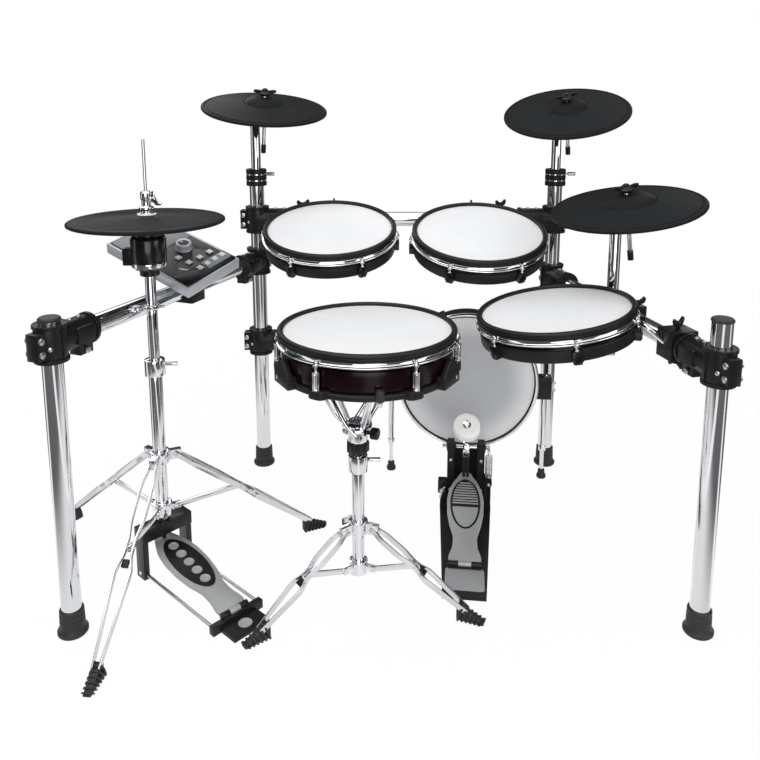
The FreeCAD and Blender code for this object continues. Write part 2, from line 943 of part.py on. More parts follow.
def make_cymbal(name, arm_x, arm_y, arm_bottom, pad, seat, nut):
    """One cymbal: an upright tube, a tilter block on it and a rod through the block."""
    turn = cymbal_turn(name)
    pad_z = kit.of(name, "z")
    lift = turn.multVec(Z_AXIS) * number(kit.pad_lift)
    block_middle = pad_z - kit.pad_lift * math.cos(turn.Angle)
    tube_top = block_middle - kit.block_height / 2
    upright = cylinder(kit.arm_radius, tube_top - arm_bottom, z=arm_bottom)
    block = box(
        kit.block_width,
        kit.block_depth,
        kit.block_height,
        x=-kit.arm_radius,
        y=-kit.block_depth / 2,
        z=tube_top,
    )
    rod = cylinder(
        kit.rod_radius,
        kit.rod_head + kit.pad_lift + kit.rod_tail,
        z=-kit.pad_lift - kit.rod_tail,
    )
    tip = tube(
        kit.tip_radius,
        kit.rod_radius + kit.fit_gap,
        kit.tip_length,
        z=-kit.pad_lift - kit.rod_tail,
    )
    pad_x = kit.rod_offset + lift.x
    rod_place = {"x": pad_x, "y": as_size(lift.y), "z": pad_z, "turn": turn}
    bore = cylinder(
        kit.rod_radius + kit.fit_gap,
        kit.rod_head + kit.pad_lift + kit.rod_tail,
        z=-kit.pad_lift - kit.rod_tail,
    )
    tilter = cut(block, placed(bore, **rod_place))
    tilted = [placed(piece, **rod_place) for piece in (rod, tip, seat, nut)]
    node(f"{name}_arm", upright, tilter, *tilted, x=arm_x, y=arm_y)
    node(f"{name}_pad", pad, x=arm_x + pad_x, y=arm_y + lift.y, z=pad_z, turn=turn)
    centre = Vector(number(arm_x) + number(pad_x), number(arm_y) + lift.y, number(pad_z))
    pivot(f"{name}_rock", centre, turn.multVec(X_AXIS))


def make_cymbals(ride_x, ride_y):
    pad = cymbal_pad()
    seat = rod_seat()
    nut = wing_nut()
    rear_bottom = kit.rear_top - kit.arm_depth
    places = {
        "crash_left": (kit.rear_left_x, kit.rear_y, rear_bottom),
        "crash_right": (kit.rear_right_x, kit.rear_y, rear_bottom),
        "ride": (ride_x, ride_y, kit.ride_arm_bottom),
    }
    for name, (x, y, bottom) in places.items():
        make_cymbal(name, x, y, bottom, pad, seat, nut)


# Drums: a shell with its trigger, a chrome hoop, a rubber rim and a mesh head


def drum_pieces(kind):
    """Shell, hoop and head of one kind of drum. The head's bearing plane is the origin."""

    def size(name):
        return kit.of(kind, name)

    hoop_outer = size("radius") - size("hoop_wall")
    hoop_inner = hoop_outer - size("hoop_wall")
    hoop_top = -size("hoop_wall")
    lip_inner = hoop_inner - size("hoop_lip")
    lip_low = hoop_top - size("lip_thick")
    hoop_low = hoop_top - size("hoop_height") + size("hoop_wall")
    hoop = turned(
        [
            (hoop_inner, hoop_low),
            (hoop_outer, hoop_low),
            (hoop_outer, hoop_top),
            (lip_inner, hoop_top),
            (lip_inner, lip_low),
            (hoop_inner, lip_low),
        ]
    )
    rim = turned(
        [
            (lip_inner, hoop_top),
            (lip_inner, 0),
            (lip_inner + size("rim_rise"), size("rim_rise")),
            (size("radius") - size("rim_rise"), size("rim_rise")),
            (size("radius"), 0),
            (size("radius"), -size("rim_skirt")),
            (hoop_outer, -size("rim_skirt")),
            (hoop_outer, hoop_top),
        ]
    )
    skin_top = hoop_top + size("head_thick") / 2
    skin_low = skin_top - size("head_thick")
    collar = lip_inner - kit.slide_gap
    ring_low = lip_low - size("lip_thick") * 1.5
    neck = collar - size("head_thick")
    head = turned(
        [
            (0, skin_low),
            (neck, skin_low),
            (neck, ring_low),
            (hoop_inner - kit.slide_gap, ring_low),
            (hoop_inner - kit.slide_gap, lip_low),
            (collar, lip_low),
            (collar, skin_top),
            (0, skin_top),
        ]
    )
    edge = neck - kit.slide_gap
    inner = edge - size("shell_wall")
    floor = -size("depth")
    shell_top = hoop_low - kit.slide_gap
    shell = turned(
        [
            (0, floor),
            (hoop_inner - size("shell_wall") / 2, floor),
            (hoop_inner, floor + size("shell_wall") / 2),
            (hoop_inner, shell_top),
            (edge, shell_top),
            (edge, skin_low),
            (inner, skin_low),
            (inner, floor + size("shell_wall")),
            (0, floor + size("shell_wall")),
        ]
    )
    return {
        "shell": shell,
        "hoop": hoop,
        "rim": rim,
        "head": head,
        "hoop_outer": hoop_outer,
        "hoop_low": hoop_low,
        "shell_outer": hoop_inner,
        "inner": inner,
        "skin_low": skin_low,
        "floor": floor,
    }


def trigger(inner, skin_low):
    """The sensor's crossbar and the foam cone that reaches up to the head."""
    half_width = kit.trigger_bar_width / 2
    reach = (inner * inner - half_width * half_width).value ** 0.5
    length = 2 * inner * (reach / inner.value) - kit.slide_gap
    bar_top = skin_low - kit.trigger_drop
    bar = middle_box(
        length, kit.trigger_bar_width, kit.trigger_bar_thick, z=bar_top - kit.trigger_bar_thick
    )
    foam = cone(
        kit.trigger_cone_radius,
        kit.trigger_tip_radius,
        kit.trigger_drop - kit.slide_gap,
        z=bar_top,
    )
    return [bar, foam]


def tension_rods(kind, drum):
    """One claw with its rod, outside the hoop at +X."""
    out = kit.of(kind, "rod_radius")
    claw_depth = out * 2 + kit.of(kind, "hoop_wall")
    claw_top = -kit.of(kind, "rim_skirt") - kit.slide_gap
    inset = kit.of(kind, "hoop_wall") / 2
    claw = box(
        claw_depth + inset,
        kit.of(kind, "claw_width"),
        kit.of(kind, "claw_height"),
        x=drum["hoop_outer"] - inset,
        y=-kit.of(kind, "claw_width") / 2,
        z=claw_top - kit.of(kind, "claw_height"),
    )
    lug_top = drum["floor"] + kit.of(kind, "lug_lift") + kit.of(kind, "lug_height")
    rod_length = claw_top - lug_top
    rod = cylinder(out, rod_length, x=drum["hoop_outer"] + claw_depth / 2, z=lug_top)
    clear = cylinder(drum["hoop_outer"] + kit.fit_gap, kit.of(kind, "depth"), z=drum["floor"])
    return fused(cut(claw, clear), rod)


def lug(kind, drum):
    """The lug on the shell at +X that a tension rod screws into."""
    return box(
        kit.of(kind, "lug_depth"),
        kit.of(kind, "lug_width"),
        kit.of(kind, "lug_height"),
        x=drum["shell_outer"] - kit.of(kind, "shell_wall") / 2,
        y=-kit.of(kind, "lug_width") / 2,
        z=drum["floor"] + kit.of(kind, "lug_lift"),
    )


def tom_bracket(drum):
    """The casting on the tom's side at +Y, bored along X for its arm."""
    inset = kit.tom_shell_wall / 2
    depth = kit.bracket_depth + inset
    low = drum["floor"] + kit.bracket_lift
    block = box(
        kit.bracket_width,
        depth,
        kit.bracket_height,
        x=-kit.bracket_width / 2,
        y=drum["shell_outer"] - inset,
        z=low,
    )
    axis_y = drum["shell_outer"] + kit.bracket_depth / 2
    axis_z = low + kit.bracket_height / 2
    bore = cylinder(
        kit.tom_arm_radius + kit.pin_gap,
        kit.bracket_width + 2 * kit.overrun,
        x=-kit.bracket_width / 2 - kit.overrun,
        y=axis_y,
        z=axis_z,
        turn=ALONG_X,
    )
    return block, bore, Vector(0, number(axis_y), number(axis_z))


def make_toms():
    """The three tom pads. Returns their arms with the place of each saddle on its bar."""
    drum = drum_pieces("tom")
    count = int(number(kit.tom_lugs))
    lugs = around(lug("tom", drum), count)
    block, bore, axis_point = tom_bracket(drum)
    shell = cut(fused(drum["shell"], block, *lugs), bore)
    rods = around(tension_rods("tom", drum), count)
    sensor = trigger(drum["inner"], drum["skin_low"])
    plans = {
        "high_tom": ("upper", 0.0, spin(kit.high_tom_tilt, X_AXIS), -1),
        "mid_tom": ("upper", 0.0, spin(kit.mid_tom_tilt, X_AXIS), 1),
        "floor_tom": (
            "right",
            -90.0,
            spin(-kit.floor_tom_lean, Y_AXIS) * spin(kit.floor_tom_tilt, X_AXIS),
            1,
        ),
    }
    arms = []
    for name, (bar, yaw, lean, side) in plans.items():
        turn = lean * spin(yaw)
        place = {axis: kit.of(name, axis) for axis in "xyz"}
        node(f"{name}_shell", shell, *sensor, **place, turn=turn)
        node(f"{name}_hoop", drum["hoop"], *rods, **place, turn=turn)
        node(f"{name}_head", drum["head"], drum["rim"], **place, turn=turn)
        seat = Placement(Vector(*(number(place[axis]) for axis in "xyz")), turn)
        hinge = seat.multVec(axis_point)
        along = turn.multVec(X_AXIS)
        pivot(f"{name}_tilt", hinge, along)
        run = kit.tom_arm_run if bar == "upper" else kit.floor_tom_arm_run
        arms.append(tom_arm(bar, hinge, along * side, run))
    node("tom_arms", *[arm for bar, place, arm in arms])
    return arms


def tom_arm(bar, hinge, along, run):
    """An L-shaped bar: one leg in the tom's bracket, the other into a saddle on a rack bar."""
    corner = hinge + along * number(run)
    first, second, height = BARS[bar]
    if bar == "upper":
        place = (as_size(corner.x), POSTS[first][1], height)
    else:
        place = point_on_bar(bar, as_size(corner.y))
    axis = Vector(*(number(item) for item in place))
    inward = corner - axis
    inward.z = 0
    reach = number(kit.bar_radius) + number(kit.saddle_wall) / 2
    end = axis + inward.normalize() * reach
    start = hinge - along * number(kit.tom_arm_stub)
    return bar, place, bent_bar([start, corner, end], kit.tom_arm_radius, kit.tom_arm_bend)


def make_snare():
    """The snare pad with its burgundy shell and the black ring that it stands on."""
    drum = drum_pieces("snare")
    count = int(number(kit.snare_lugs))
    hollow = cylinder(
        drum["shell_outer"] + kit.fit_gap, kit.snare_depth + kit.overrun, z=drum["floor"]
    )
    tubes = around(cut(lug("snare", drum), hollow), count)
    rods = around(tension_rods("snare", drum), count)
    sensor = trigger(drum["inner"], drum["skin_low"])
    ring_outer = drum["shell_outer"] + kit.base_ring_overhang
    ring_low = drum["floor"] - kit.base_ring_height
    ring = tube(
        ring_outer, ring_outer - kit.base_ring_wall, kit.base_ring_height, z=ring_low
    )
    corner_box = box(
        kit.base_box_depth,
        kit.base_box_width,
        kit.base_box_height,
        x=ring_outer - kit.base_box_depth / 2,
        y=-kit.base_box_width / 2,
        z=ring_low,
    )
    side_box = cut(corner_box, hollow)
    right_box = placed(side_box, turn=spin(-kit.base_box_heading))
    left_box = placed(side_box, turn=spin(180 + kit.base_box_heading))
    base = fused(ring, right_box, left_box)
    place = {"x": kit.snare_x, "y": kit.snare_y, "z": kit.snare_z}
    node("snare_shell", drum["shell"], *sensor, **place)
    node("snare_hoop", drum["hoop"], *rods, *tubes, **place)
    node("snare_head", drum["head"], drum["rim"], **place)
    node("snare_base", base, **place)
    return kit.snare_z + ring_low, ring_outer


# Tripods: three double-strip legs on a sliding collar, braced by struts from a fixed collar


def stand_place(kind):
    """Where a stand's axis meets the floor. The snare pad sits a little off its stand's axis."""
    if kind == "snare":
        return kit.snare_stand_x, kit.snare_stand_y
    return kit.hihat_x, kit.hihat_y


def tripod(kind, tube_radius):
    """Legs, struts and sliding collar of one stand. Returns its fixed strut collar."""
    x, y = stand_place(kind)
    heading = number(kit.of(kind, "heading"))
    collar_z = kit.of(kind, "collar_z")
    strut_z = kit.of(kind, "strut_z")
    run = kit.of(kind, "reach") - kit.lug_reach
    fall = collar_z - kit.leg_foot_lift
    length = hypotenuse(run, fall)
    slope = math.degrees(math.atan2(number(fall), number(run)))
    half_gap = kit.strip_gap / 2
    strip = box(
        length + kit.strip_lap,
        kit.strip_thick,
        kit.strip_width,
        x=-kit.strip_lap,
        y=half_gap,
        z=-kit.strip_width / 2,
    )
    pin_half = half_gap + kit.strip_thick + kit.pivot_proud
    pin = cylinder(kit.pivot_radius, 2 * pin_half, y=-pin_half, turn=ALONG_Y)
    twin = placed(strip, y=-kit.strip_gap - kit.strip_thick)
    stub_length = kit.strip_width
    bridge = box(
        stub_length,
        kit.strip_gap,
        kit.strip_width / 2,
        x=length - stub_length,
        y=-half_gap,
        z=-kit.strip_width / 4,
    )
    strips = placed(
        fused(strip, twin, pin, bridge),
        kit.lug_reach,
        0,
        collar_z,
        spin(slope, Y_AXIS),
    )
    reach = kit.of(kind, "reach")
    wedge = plate(
        [
            (reach - kit.leg_foot_back, 0),
            (reach + kit.leg_foot_front, 0),
            (reach + kit.leg_foot_front + kit.leg_foot_toe / 2, kit.leg_foot_toe),
            (reach, kit.leg_foot_height),
            (reach - kit.leg_foot_back, kit.leg_foot_height),
        ],
        kit.leg_foot_width,
        y=kit.leg_foot_width / 2,
        turn=UPRIGHT,
    )
    foot = cut(wedge, strips)
    brace_run = run * kit.strut_share
    brace_end = collar_z - fall * kit.strut_share
    brace_rise = brace_end - strut_z
    brace = hypotenuse(brace_run, brace_rise)
    climb = math.degrees(math.atan2(number(brace_rise), number(brace_run)))
    bar = box(
        brace + kit.strut_width,
        kit.strut_thick,
        kit.strut_width,
        x=-kit.strut_width / 2,
        y=-kit.strut_thick / 2,
        z=-kit.strut_width / 2,
    )
    ear_half = kit.strut_thick / 2 + kit.slide_gap + kit.strut_ear
    strut_pin = cylinder(kit.pivot_radius, 2 * ear_half, y=-ear_half, turn=ALONG_Y)
    strut = placed(fused(bar, strut_pin), kit.lug_reach, 0, strut_z, spin(-climb, Y_AXIS))
    ring_outer = tube_radius + kit.stand_collar_wall
    ring = cylinder(ring_outer, kit.stand_collar_height, z=-kit.stand_collar_height / 2)
    lug_width = kit.strip_gap - 2 * kit.slide_gap
    tongue = box(
        kit.lug_reach + kit.lug_height / 2,
        lug_width,
        kit.lug_height,
        y=-lug_width / 2,
        z=-kit.lug_height / 2,
    )
    pin_hole = cylinder(
        kit.pivot_radius + kit.pin_gap,
        4 * ear_half,
        x=kit.lug_reach,
        y=-2 * ear_half,
        turn=ALONG_Y,
    )
    long_bore = kit.stand_collar_height + 2 * kit.overrun
    slide_bore = cylinder(tube_radius + kit.slide_gap, long_bore, z=-long_bore / 2)
    fixed_bore = cylinder(tube_radius + kit.fit_gap, long_bore, z=-long_bore / 2)
    holes = around(pin_hole, 3)
    collar = cut(fused(ring, *around(tongue, 3)), slide_bore, *holes)
    ear = box(
        kit.lug_reach + kit.strut_width / 2,
        kit.strut_ear,
        kit.strut_width,
        y=kit.strut_thick / 2 + kit.slide_gap,
        z=-kit.strut_width / 2,
    )
    ears = group(ear, placed(ear, y=-2 * (kit.strut_thick / 2 + kit.slide_gap) - kit.strut_ear))
    slots = around(ears, 3)
    base_collar = cut(fused(ring, *slots), fixed_bore, *holes)
    node(f"{kind}_collar", collar, x=x, y=y, z=collar_z, turn=spin(heading))
    for index in range(3):
        angle = spin(heading + 120 * index)
        node(f"{kind}_leg_{index + 1}", strips, foot, x=x, y=y, turn=angle)
        node(f"{kind}_strut_{index + 1}", strut, x=x, y=y, turn=angle)
        stand = Placement(Vector(number(x), number(y), 0), angle)
        side = angle.multVec(Y_AXIS)
        top = stand.multVec(Vector(number(kit.lug_reach), 0, number(collar_z)))
        low = stand.multVec(Vector(number(kit.lug_reach), 0, number(strut_z)))
        pivot(f"{kind}_leg_{index + 1}", top, side)
        pivot(f"{kind}_strut_{index + 1}", low, side)
    pivot(f"{kind}_brace", Vector(number(brace_run), 0, number(brace_end)), X_AXIS)
    return placed(base_collar, 0, 0, strut_z, spin(heading))


# Hi-hat: stand, controller, pull rod, pad and pedal


def hihat_pad():
    """The hi-hat pad about its rim plane, with the clutch that grips the pull rod."""
    bore = kit.pull_rod_radius + kit.slide_gap
    hub_low = kit.controller_top + kit.pedal_travel + kit.slide_gap * 2 - kit.hihat_pad_z
    rise = kit.hihat_pad_rise
    hub = kit.bell_top_radius
    dish = turned(
        [
            (bore, hub_low),
            (hub, hub_low),
            (hub + kit.pad_skin, rise - kit.pad_skin),
            (kit.hihat_pad_radius - kit.pad_edge, -kit.pad_edge / 2),
            (kit.hihat_pad_radius - kit.pad_edge / 2, -kit.pad_edge * 0.7),
            (kit.hihat_pad_radius, -kit.pad_edge * 0.5),
            (kit.hihat_pad_radius, 0),
            (kit.hihat_pad_radius - kit.pad_edge / 2, kit.pad_edge * 0.3),
            (hub, rise),
            (bore, rise),
        ]
    )
    sleeve = tube(kit.clutch_radius, bore, kit.clutch_height, z=rise + kit.clutch_nut_height)
    nut = tube(kit.clutch_nut_radius, bore, kit.clutch_nut_height, z=rise)
    screw = cylinder(
        kit.wing_bolt_radius,
        kit.wing_bolt_length,
        x=kit.clutch_radius - kit.wing_bolt_radius / 2,
        z=rise + kit.clutch_nut_height + kit.clutch_height * 0.7,
        turn=ALONG_X,
    )
    return dish, fused(sleeve, nut, screw)


def controller():
    """The pedal sensor's housing on the upper tube, with its jack box."""
    height = kit.controller_top - kit.controller_bottom
    can = cylinder(kit.controller_radius, height, z=kit.controller_bottom)
    jack = box(
        kit.jack_box_depth + kit.controller_radius,
        kit.jack_box_width,
        kit.jack_box_height,
        x=-kit.controller_radius - kit.jack_box_depth,
        y=-kit.jack_box_width / 2,
        z=kit.controller_bottom + kit.jack_box_height / 4,
    )
    bore = cylinder(
        kit.pull_rod_radius + kit.slide_gap,
        height + 2 * kit.overrun,
        z=kit.controller_bottom - kit.overrun,
    )
    return cut(fused(can, jack), bore)


def height_collar(outer, inner):
    """A collar on a stand's tube that grips the tube sliding in it, standing on z = 0."""
    ring_outer = outer + kit.stand_collar_wall
    lap = kit.height_collar_height * 0.6
    ring = turned(
        [
            (outer + kit.fit_gap, 0),
            (ring_outer, 0),
            (ring_outer, kit.height_collar_height),
            (inner + kit.slide_gap, kit.height_collar_height),
            (inner + kit.slide_gap, lap),
            (outer + kit.fit_gap, lap),
        ]
    )
    screw = cylinder(
        kit.wing_bolt_radius,
        kit.wing_bolt_length,
        x=ring_outer,
        z=kit.height_collar_height * 0.7,
        turn=ALONG_X,
    )
    return [ring, screw], lap


def pedal_board(length, width, neck, thick):
    """A footboard along +X from its hinge, a little wider towards the toe."""
    nose = width * 0.3
    return plate(
        [
            (kit.knuckle_radius, -neck / 2),
            (length * 0.45, -width / 2),
            (length - nose, -width / 2),
            (length, -width * 0.22),
            (length, width * 0.22),
            (length - nose, width / 2),
            (length * 0.45, width / 2),
            (kit.knuckle_radius, neck / 2),
        ],
        thick,
        z=-thick / 2,
    )


def hinge_set(neck):
    """A pin hinge along Y: the board's middle knuckle, and the heel's knuckles with the pin."""
    inner = neck * kit.knuckle_share
    knuckle = tube(
        kit.knuckle_radius, kit.hinge_radius + kit.pin_gap, inner, y=-inner / 2, turn=ALONG_Y
    )
    arm = box(
        kit.knuckle_radius * 2,
        inner,
        kit.knuckle_radius,
        y=-inner / 2,
        z=-kit.knuckle_radius / 2,
    )
    hole = cylinder(kit.hinge_radius + kit.pin_gap, neck * 2, y=-neck, turn=ALONG_Y)
    board_side = cut(fused(knuckle, arm), hole)
    outer = (neck - inner) / 2 - kit.slide_gap
    post = cylinder(kit.knuckle_radius, outer, y=inner / 2 + kit.slide_gap, turn=ALONG_Y)
    twin = cylinder(kit.knuckle_radius, outer, y=-neck / 2, turn=ALONG_Y)
    pin = cylinder(kit.hinge_radius, neck, y=-neck / 2, turn=ALONG_Y)
    return board_side, fused(post, twin, pin)


def make_hihat():
    x, y = kit.hihat_x, kit.hihat_y
    base_collar = tripod("hihat", kit.hihat_tube_radius)
    outer, inner = kit.hihat_tube_radius, kit.hihat_inner_radius
    length = kit.hihat_tube_top - kit.hihat_tube_bottom
    lower = tube(outer, inner + kit.slide_gap, length, z=kit.hihat_tube_bottom)
    ring, lap = height_collar(outer, inner)
    grip = [placed(piece, 0, 0, kit.hihat_tube_top - lap) for piece in ring]
    node("hihat_stand_tube", lower, base_collar, *grip, x=x, y=y)
    upper = tube(
        inner,
        inner - kit.hihat_inner_wall,
        kit.controller_bottom - kit.hihat_inner_bottom,
        z=kit.hihat_inner_bottom,
    )
    node("hihat_upper_tube", upper, controller(), x=x, y=y)
    # The rod's end stands just clear of the sloping board under it
    rise = kit.hihat_toe_z - kit.hinge_z
    board_top = kit.hihat_board_thick / 2 * hypotenuse(kit.hihat_heel, rise) / kit.hihat_heel
    rod_low = (
        kit.hihat_toe_z
        + board_top
        + kit.pull_rod_radius * rise / kit.hihat_heel
        + kit.slide_gap
    )
    rod = cylinder(kit.pull_rod_radius, kit.pull_rod_top - rod_low, z=rod_low)
    node("hihat_rod", rod, x=x, y=y)
    dish, clutch = hihat_pad()
    node("hihat_pad", dish, clutch, x=x, y=y, z=kit.hihat_pad_z)
    make_hihat_pedal(x, y)


def make_hihat_pedal(x, y):
    """The pedal in its own frame: +X runs from the heel to the toe under the stand."""
    turn = spin(kit.hihat_pedal_heading)
    hinge_x = -kit.hihat_heel
    rise = kit.hihat_toe_z - kit.hinge_z
    slope = math.degrees(math.atan2(number(rise), number(kit.hihat_heel)))
    length = hypotenuse(kit.hihat_heel, rise) + kit.upright_depth / 2
    board = pedal_board(
        length, kit.hihat_board_width, kit.hihat_board_neck, kit.hihat_board_thick
    )
    board_side, heel_side = hinge_set(kit.hihat_board_neck)
    hole = cylinder(
        kit.knuckle_radius + kit.slide_gap,
        kit.hihat_board_neck * 2,
        y=-kit.hihat_board_neck,
        turn=ALONG_Y,
    )
    footboard = fused(cut(board, hole), board_side)
    tilted = placed(footboard, hinge_x, 0, kit.hinge_z, spin(-slope, Y_AXIS))
    node("hihat_footboard", tilted, x=x, y=y, turn=turn)
    plate_start = hinge_x - kit.heel_plate_length - kit.knuckle_radius - kit.slide_gap
    heel = middle_box(
        kit.heel_plate_length,
        kit.hihat_board_width,
        kit.heel_plate_thick,
        x=plate_start + kit.heel_plate_length / 2,
    )
    lugs = box(
        kit.knuckle_radius * 2 + kit.slide_gap * 4,
        kit.hihat_board_neck,
        kit.hinge_z,
        x=hinge_x - kit.knuckle_radius * 2,
        y=-kit.hihat_board_neck / 2,
    )
    inner = kit.hihat_board_neck * kit.knuckle_share + 2 * kit.slide_gap
    slot = box(
        kit.knuckle_radius * 6,
        inner,
        kit.hinge_z * 2,
        x=hinge_x - kit.knuckle_radius - kit.slide_gap * 2,
        y=-inner / 2,
    )
    hinge = placed(heel_side, hinge_x, 0, kit.hinge_z)
    heel_end = fused(heel, cut(lugs, slot), hinge)
    block = middle_box(
        kit.hihat_block_depth,
        kit.hihat_block_width,
        kit.hihat_block_height,
        z=kit.hihat_block_bottom,
    )
    side_y = kit.hihat_block_width / 2 - kit.upright_width / 2
    upright = middle_box(
        kit.upright_depth, kit.upright_width, kit.hihat_block_bottom + kit.hihat_block_height / 2
    )
    frame = fused(block, placed(upright, y=side_y), placed(upright, y=-side_y))
    seat = cylinder(
        kit.hihat_tube_radius + kit.fit_gap, kit.hihat_tube_top, z=kit.hihat_tube_bottom
    )
    pass_hole = cylinder(kit.hihat_inner_radius, kit.hihat_tube_top)
    casting = cut(frame, seat, pass_hole)
    rod_start = hinge_x
    rod_length = kit.hihat_heel - kit.upright_depth / 2
    rod = cylinder(
        kit.radius_rod_radius,
        rod_length,
        x=rod_start,
        z=kit.radius_rod_z,
        turn=ALONG_X,
    )
    stay = box(
        kit.knuckle_radius * 2,
        side_y * 2 + kit.upright_width,
        kit.radius_rod_z * 1.5,
        x=hinge_x - kit.knuckle_radius * 2,
        y=-side_y - kit.upright_width / 2,
    )
    stay_side = cut(stay, slot)
    frame_all = fused(heel_end, stay_side)
    node(
        "hihat_pedal_frame",
        casting,
        frame_all,
        placed(rod, y=side_y),
        placed(rod, y=-side_y),
        x=x,
        y=y,
        turn=turn,
    )
    stand = Placement(Vector(number(x), number(y), 0), turn)
    point = stand.multVec(Vector(number(hinge_x), 0, number(kit.hinge_z)))
    pivot("hihat_pedal", point, turn.multVec(Y_AXIS))


# Snare stand


def make_snare_stand(base_low, base_radius):
    """The snare's tripod, its sliding tube and the three-armed basket under the snare."""
    x, y = stand_place("snare")
    base_collar = tripod("snare", kit.snare_tube_radius)
    outer, inner = kit.snare_tube_radius, kit.snare_inner_radius
    lower = tube(
        outer,
        inner + kit.slide_gap,
        kit.snare_tube_top - kit.snare_tube_bottom,
        z=kit.snare_tube_bottom,
    )
    ring, lap = height_collar(outer, inner)
    grip = [placed(piece, 0, 0, kit.snare_tube_top - lap) for piece in ring]
    node("snare_stand_tube", lower, base_collar, *grip, x=x, y=y)
    hub_low = kit.basket_z - kit.basket_hub_height / 2
    knob_low = hub_low - kit.basket_knob_height
    stem = cylinder(inner, hub_low - kit.snare_inner_bottom, z=kit.snare_inner_bottom)
    knob = tube(
        kit.basket_knob_radius, inner + kit.fit_gap, kit.basket_knob_height, z=knob_low
    )
    hub = cylinder(kit.basket_hub_radius, kit.basket_hub_height, z=hub_low)
    # The basket's arms rise from the hub and hold the ring about the pad's own axis
    offset = Vector(number(kit.snare_x - x), number(kit.snare_y - y), 0)
    shelf_z = number(base_low) - number(kit.basket_arm_radius) - number(kit.slide_gap)
    out = base_radius + kit.basket_arm_radius + kit.basket_clear
    tip_z = shelf_z + number(kit.basket_hook)
    tip = tube(
        kit.basket_tip_radius,
        kit.basket_arm_radius + kit.fit_gap,
        kit.basket_tip_length,
        x=out,
        z=as_size(tip_z) - kit.basket_tip_length,
    )
    clear = cylinder(base_radius + kit.slide_gap, kit.snare_depth, z=base_low)
    cap = cut(tip, clear)
    arms = []
    caps = []
    for index in range(3):
        angle = number(kit.basket_heading) + 120 * index
        way = spin(angle).multVec(X_AXIS)
        start = way * (number(kit.basket_hub_radius) / 2) + Z_AXIS * number(kit.basket_z)
        reach = number(base_radius) * number(kit.basket_shelf_share)
        shelf = offset + way * reach + Z_AXIS * shelf_z
        corner = offset + way * number(out) + Z_AXIS * shelf_z
        top = offset + way * number(out) + Z_AXIS * tip_z
        arm = bent_bar([start, shelf, corner, top], kit.basket_arm_radius, kit.basket_bend)
        arms.append(cut(arm, hub))
        caps.append(placed(cap, kit.snare_x - x, kit.snare_y - y, 0, spin(angle)))
    node("snare_basket", fused(hub, stem), *arms, knob, *caps, x=x, y=y)


# Kick tower and its pedal, in a frame whose origin is on the floor under the head


def kick_place():
    return {"x": kit.kick_x, "y": kit.kick_y, "turn": spin(kit.kick_turn)}


def kick_point(x, y, z):
    place = Placement(Vector(number(kit.kick_x), number(kit.kick_y), 0), spin(kit.kick_turn))
    return place.multVec(Vector(number(x), number(y), number(z)))


def make_kick():
    """Shell, hoop, head and spurs of the kick pad, which stands upright on its edge."""
    lip = kit.kick_hoop_radius - 2 * kit.kick_hoop_wall
    seat = kit.kick_hoop_radius - kit.kick_hoop_thick - kit.slide_gap
    shell_front = kit.kick_head_thick
    bore = kit.kick_shell_radius - kit.kick_shell_wall
    back = kit.kick_depth
    front = -kit.kick_hoop_wall
    shoulder = front + kit.kick_hoop_width + kit.slide_gap
    lying = {"z": kit.kick_z, "turn": ALONG_Y}
    # The shell's neck fits the hoop, and a web joins it to the body behind
    neck = tube(
        seat,
        seat - kit.kick_shell_wall,
        shoulder + kit.kick_shell_wall - shell_front,
        y=shell_front,
        **lying,
    )
    widest = larger(seat, kit.kick_shell_radius)
    narrowest = smaller(seat, kit.kick_shell_radius)
    web = tube(
        widest, narrowest - kit.kick_shell_wall, kit.kick_shell_wall, y=shoulder, **lying
    )
    body = turned(
        [
            (bore, shoulder),
            (kit.kick_shell_radius, shoulder),
            (kit.kick_shell_radius, back - kit.kick_shell_wall),
            (kit.kick_shell_radius - kit.kick_shell_wall, back),
            (0, back),
            (0, back - kit.kick_shell_wall),
            (bore, back - kit.kick_shell_wall),
        ],
        **lying,
    )
    shell = fused(neck, web, body)
    hoop = turned(
        [
            (seat + kit.slide_gap, front + kit.kick_hoop_width),
            (seat + kit.slide_gap, shell_front),
            (lip, 0),
            (lip, front),
            (kit.kick_hoop_radius - kit.kick_hoop_wall / 2, front),
            (kit.kick_hoop_radius, front + kit.kick_hoop_wall / 2),
            (kit.kick_hoop_radius, front + kit.kick_hoop_width),
        ],
        **lying,
    )
    head = cylinder(lip - kit.slide_gap, kit.kick_head_thick, y=0, **lying)
    lug_piece = box(
        kit.kick_lug_height,
        kit.kick_lug_width,
        kit.kick_lug_length,
        x=kit.kick_shell_radius,
        y=-kit.kick_lug_width / 2,
        z=front + kit.kick_hoop_width,
    )
    shell_clear = cylinder(kit.kick_shell_radius + kit.fit_gap, kit.kick_depth)
    web_clear = cylinder(seat + kit.fit_gap, shoulder + kit.kick_shell_wall + kit.fit_gap)
    count = int(number(kit.kick_lugs))
    lugs = around(cut(lug_piece, shell_clear, web_clear), count, 180.0 / count)
    pad_back = kit.kick_depth - kit.kick_shell_wall
    foam = cylinder(
        kit.kick_trigger_radius,
        pad_back - kit.kick_head_thick - kit.slide_gap,
        y=kit.kick_head_thick + kit.slide_gap,
        **lying,
    )
    node("kick_shell", shell, foam, **kick_place())
    node("kick_hoop", hoop, *[placed(item, **lying) for item in lugs], **kick_place())
    node("kick_head", head, **kick_place())
    make_spurs()


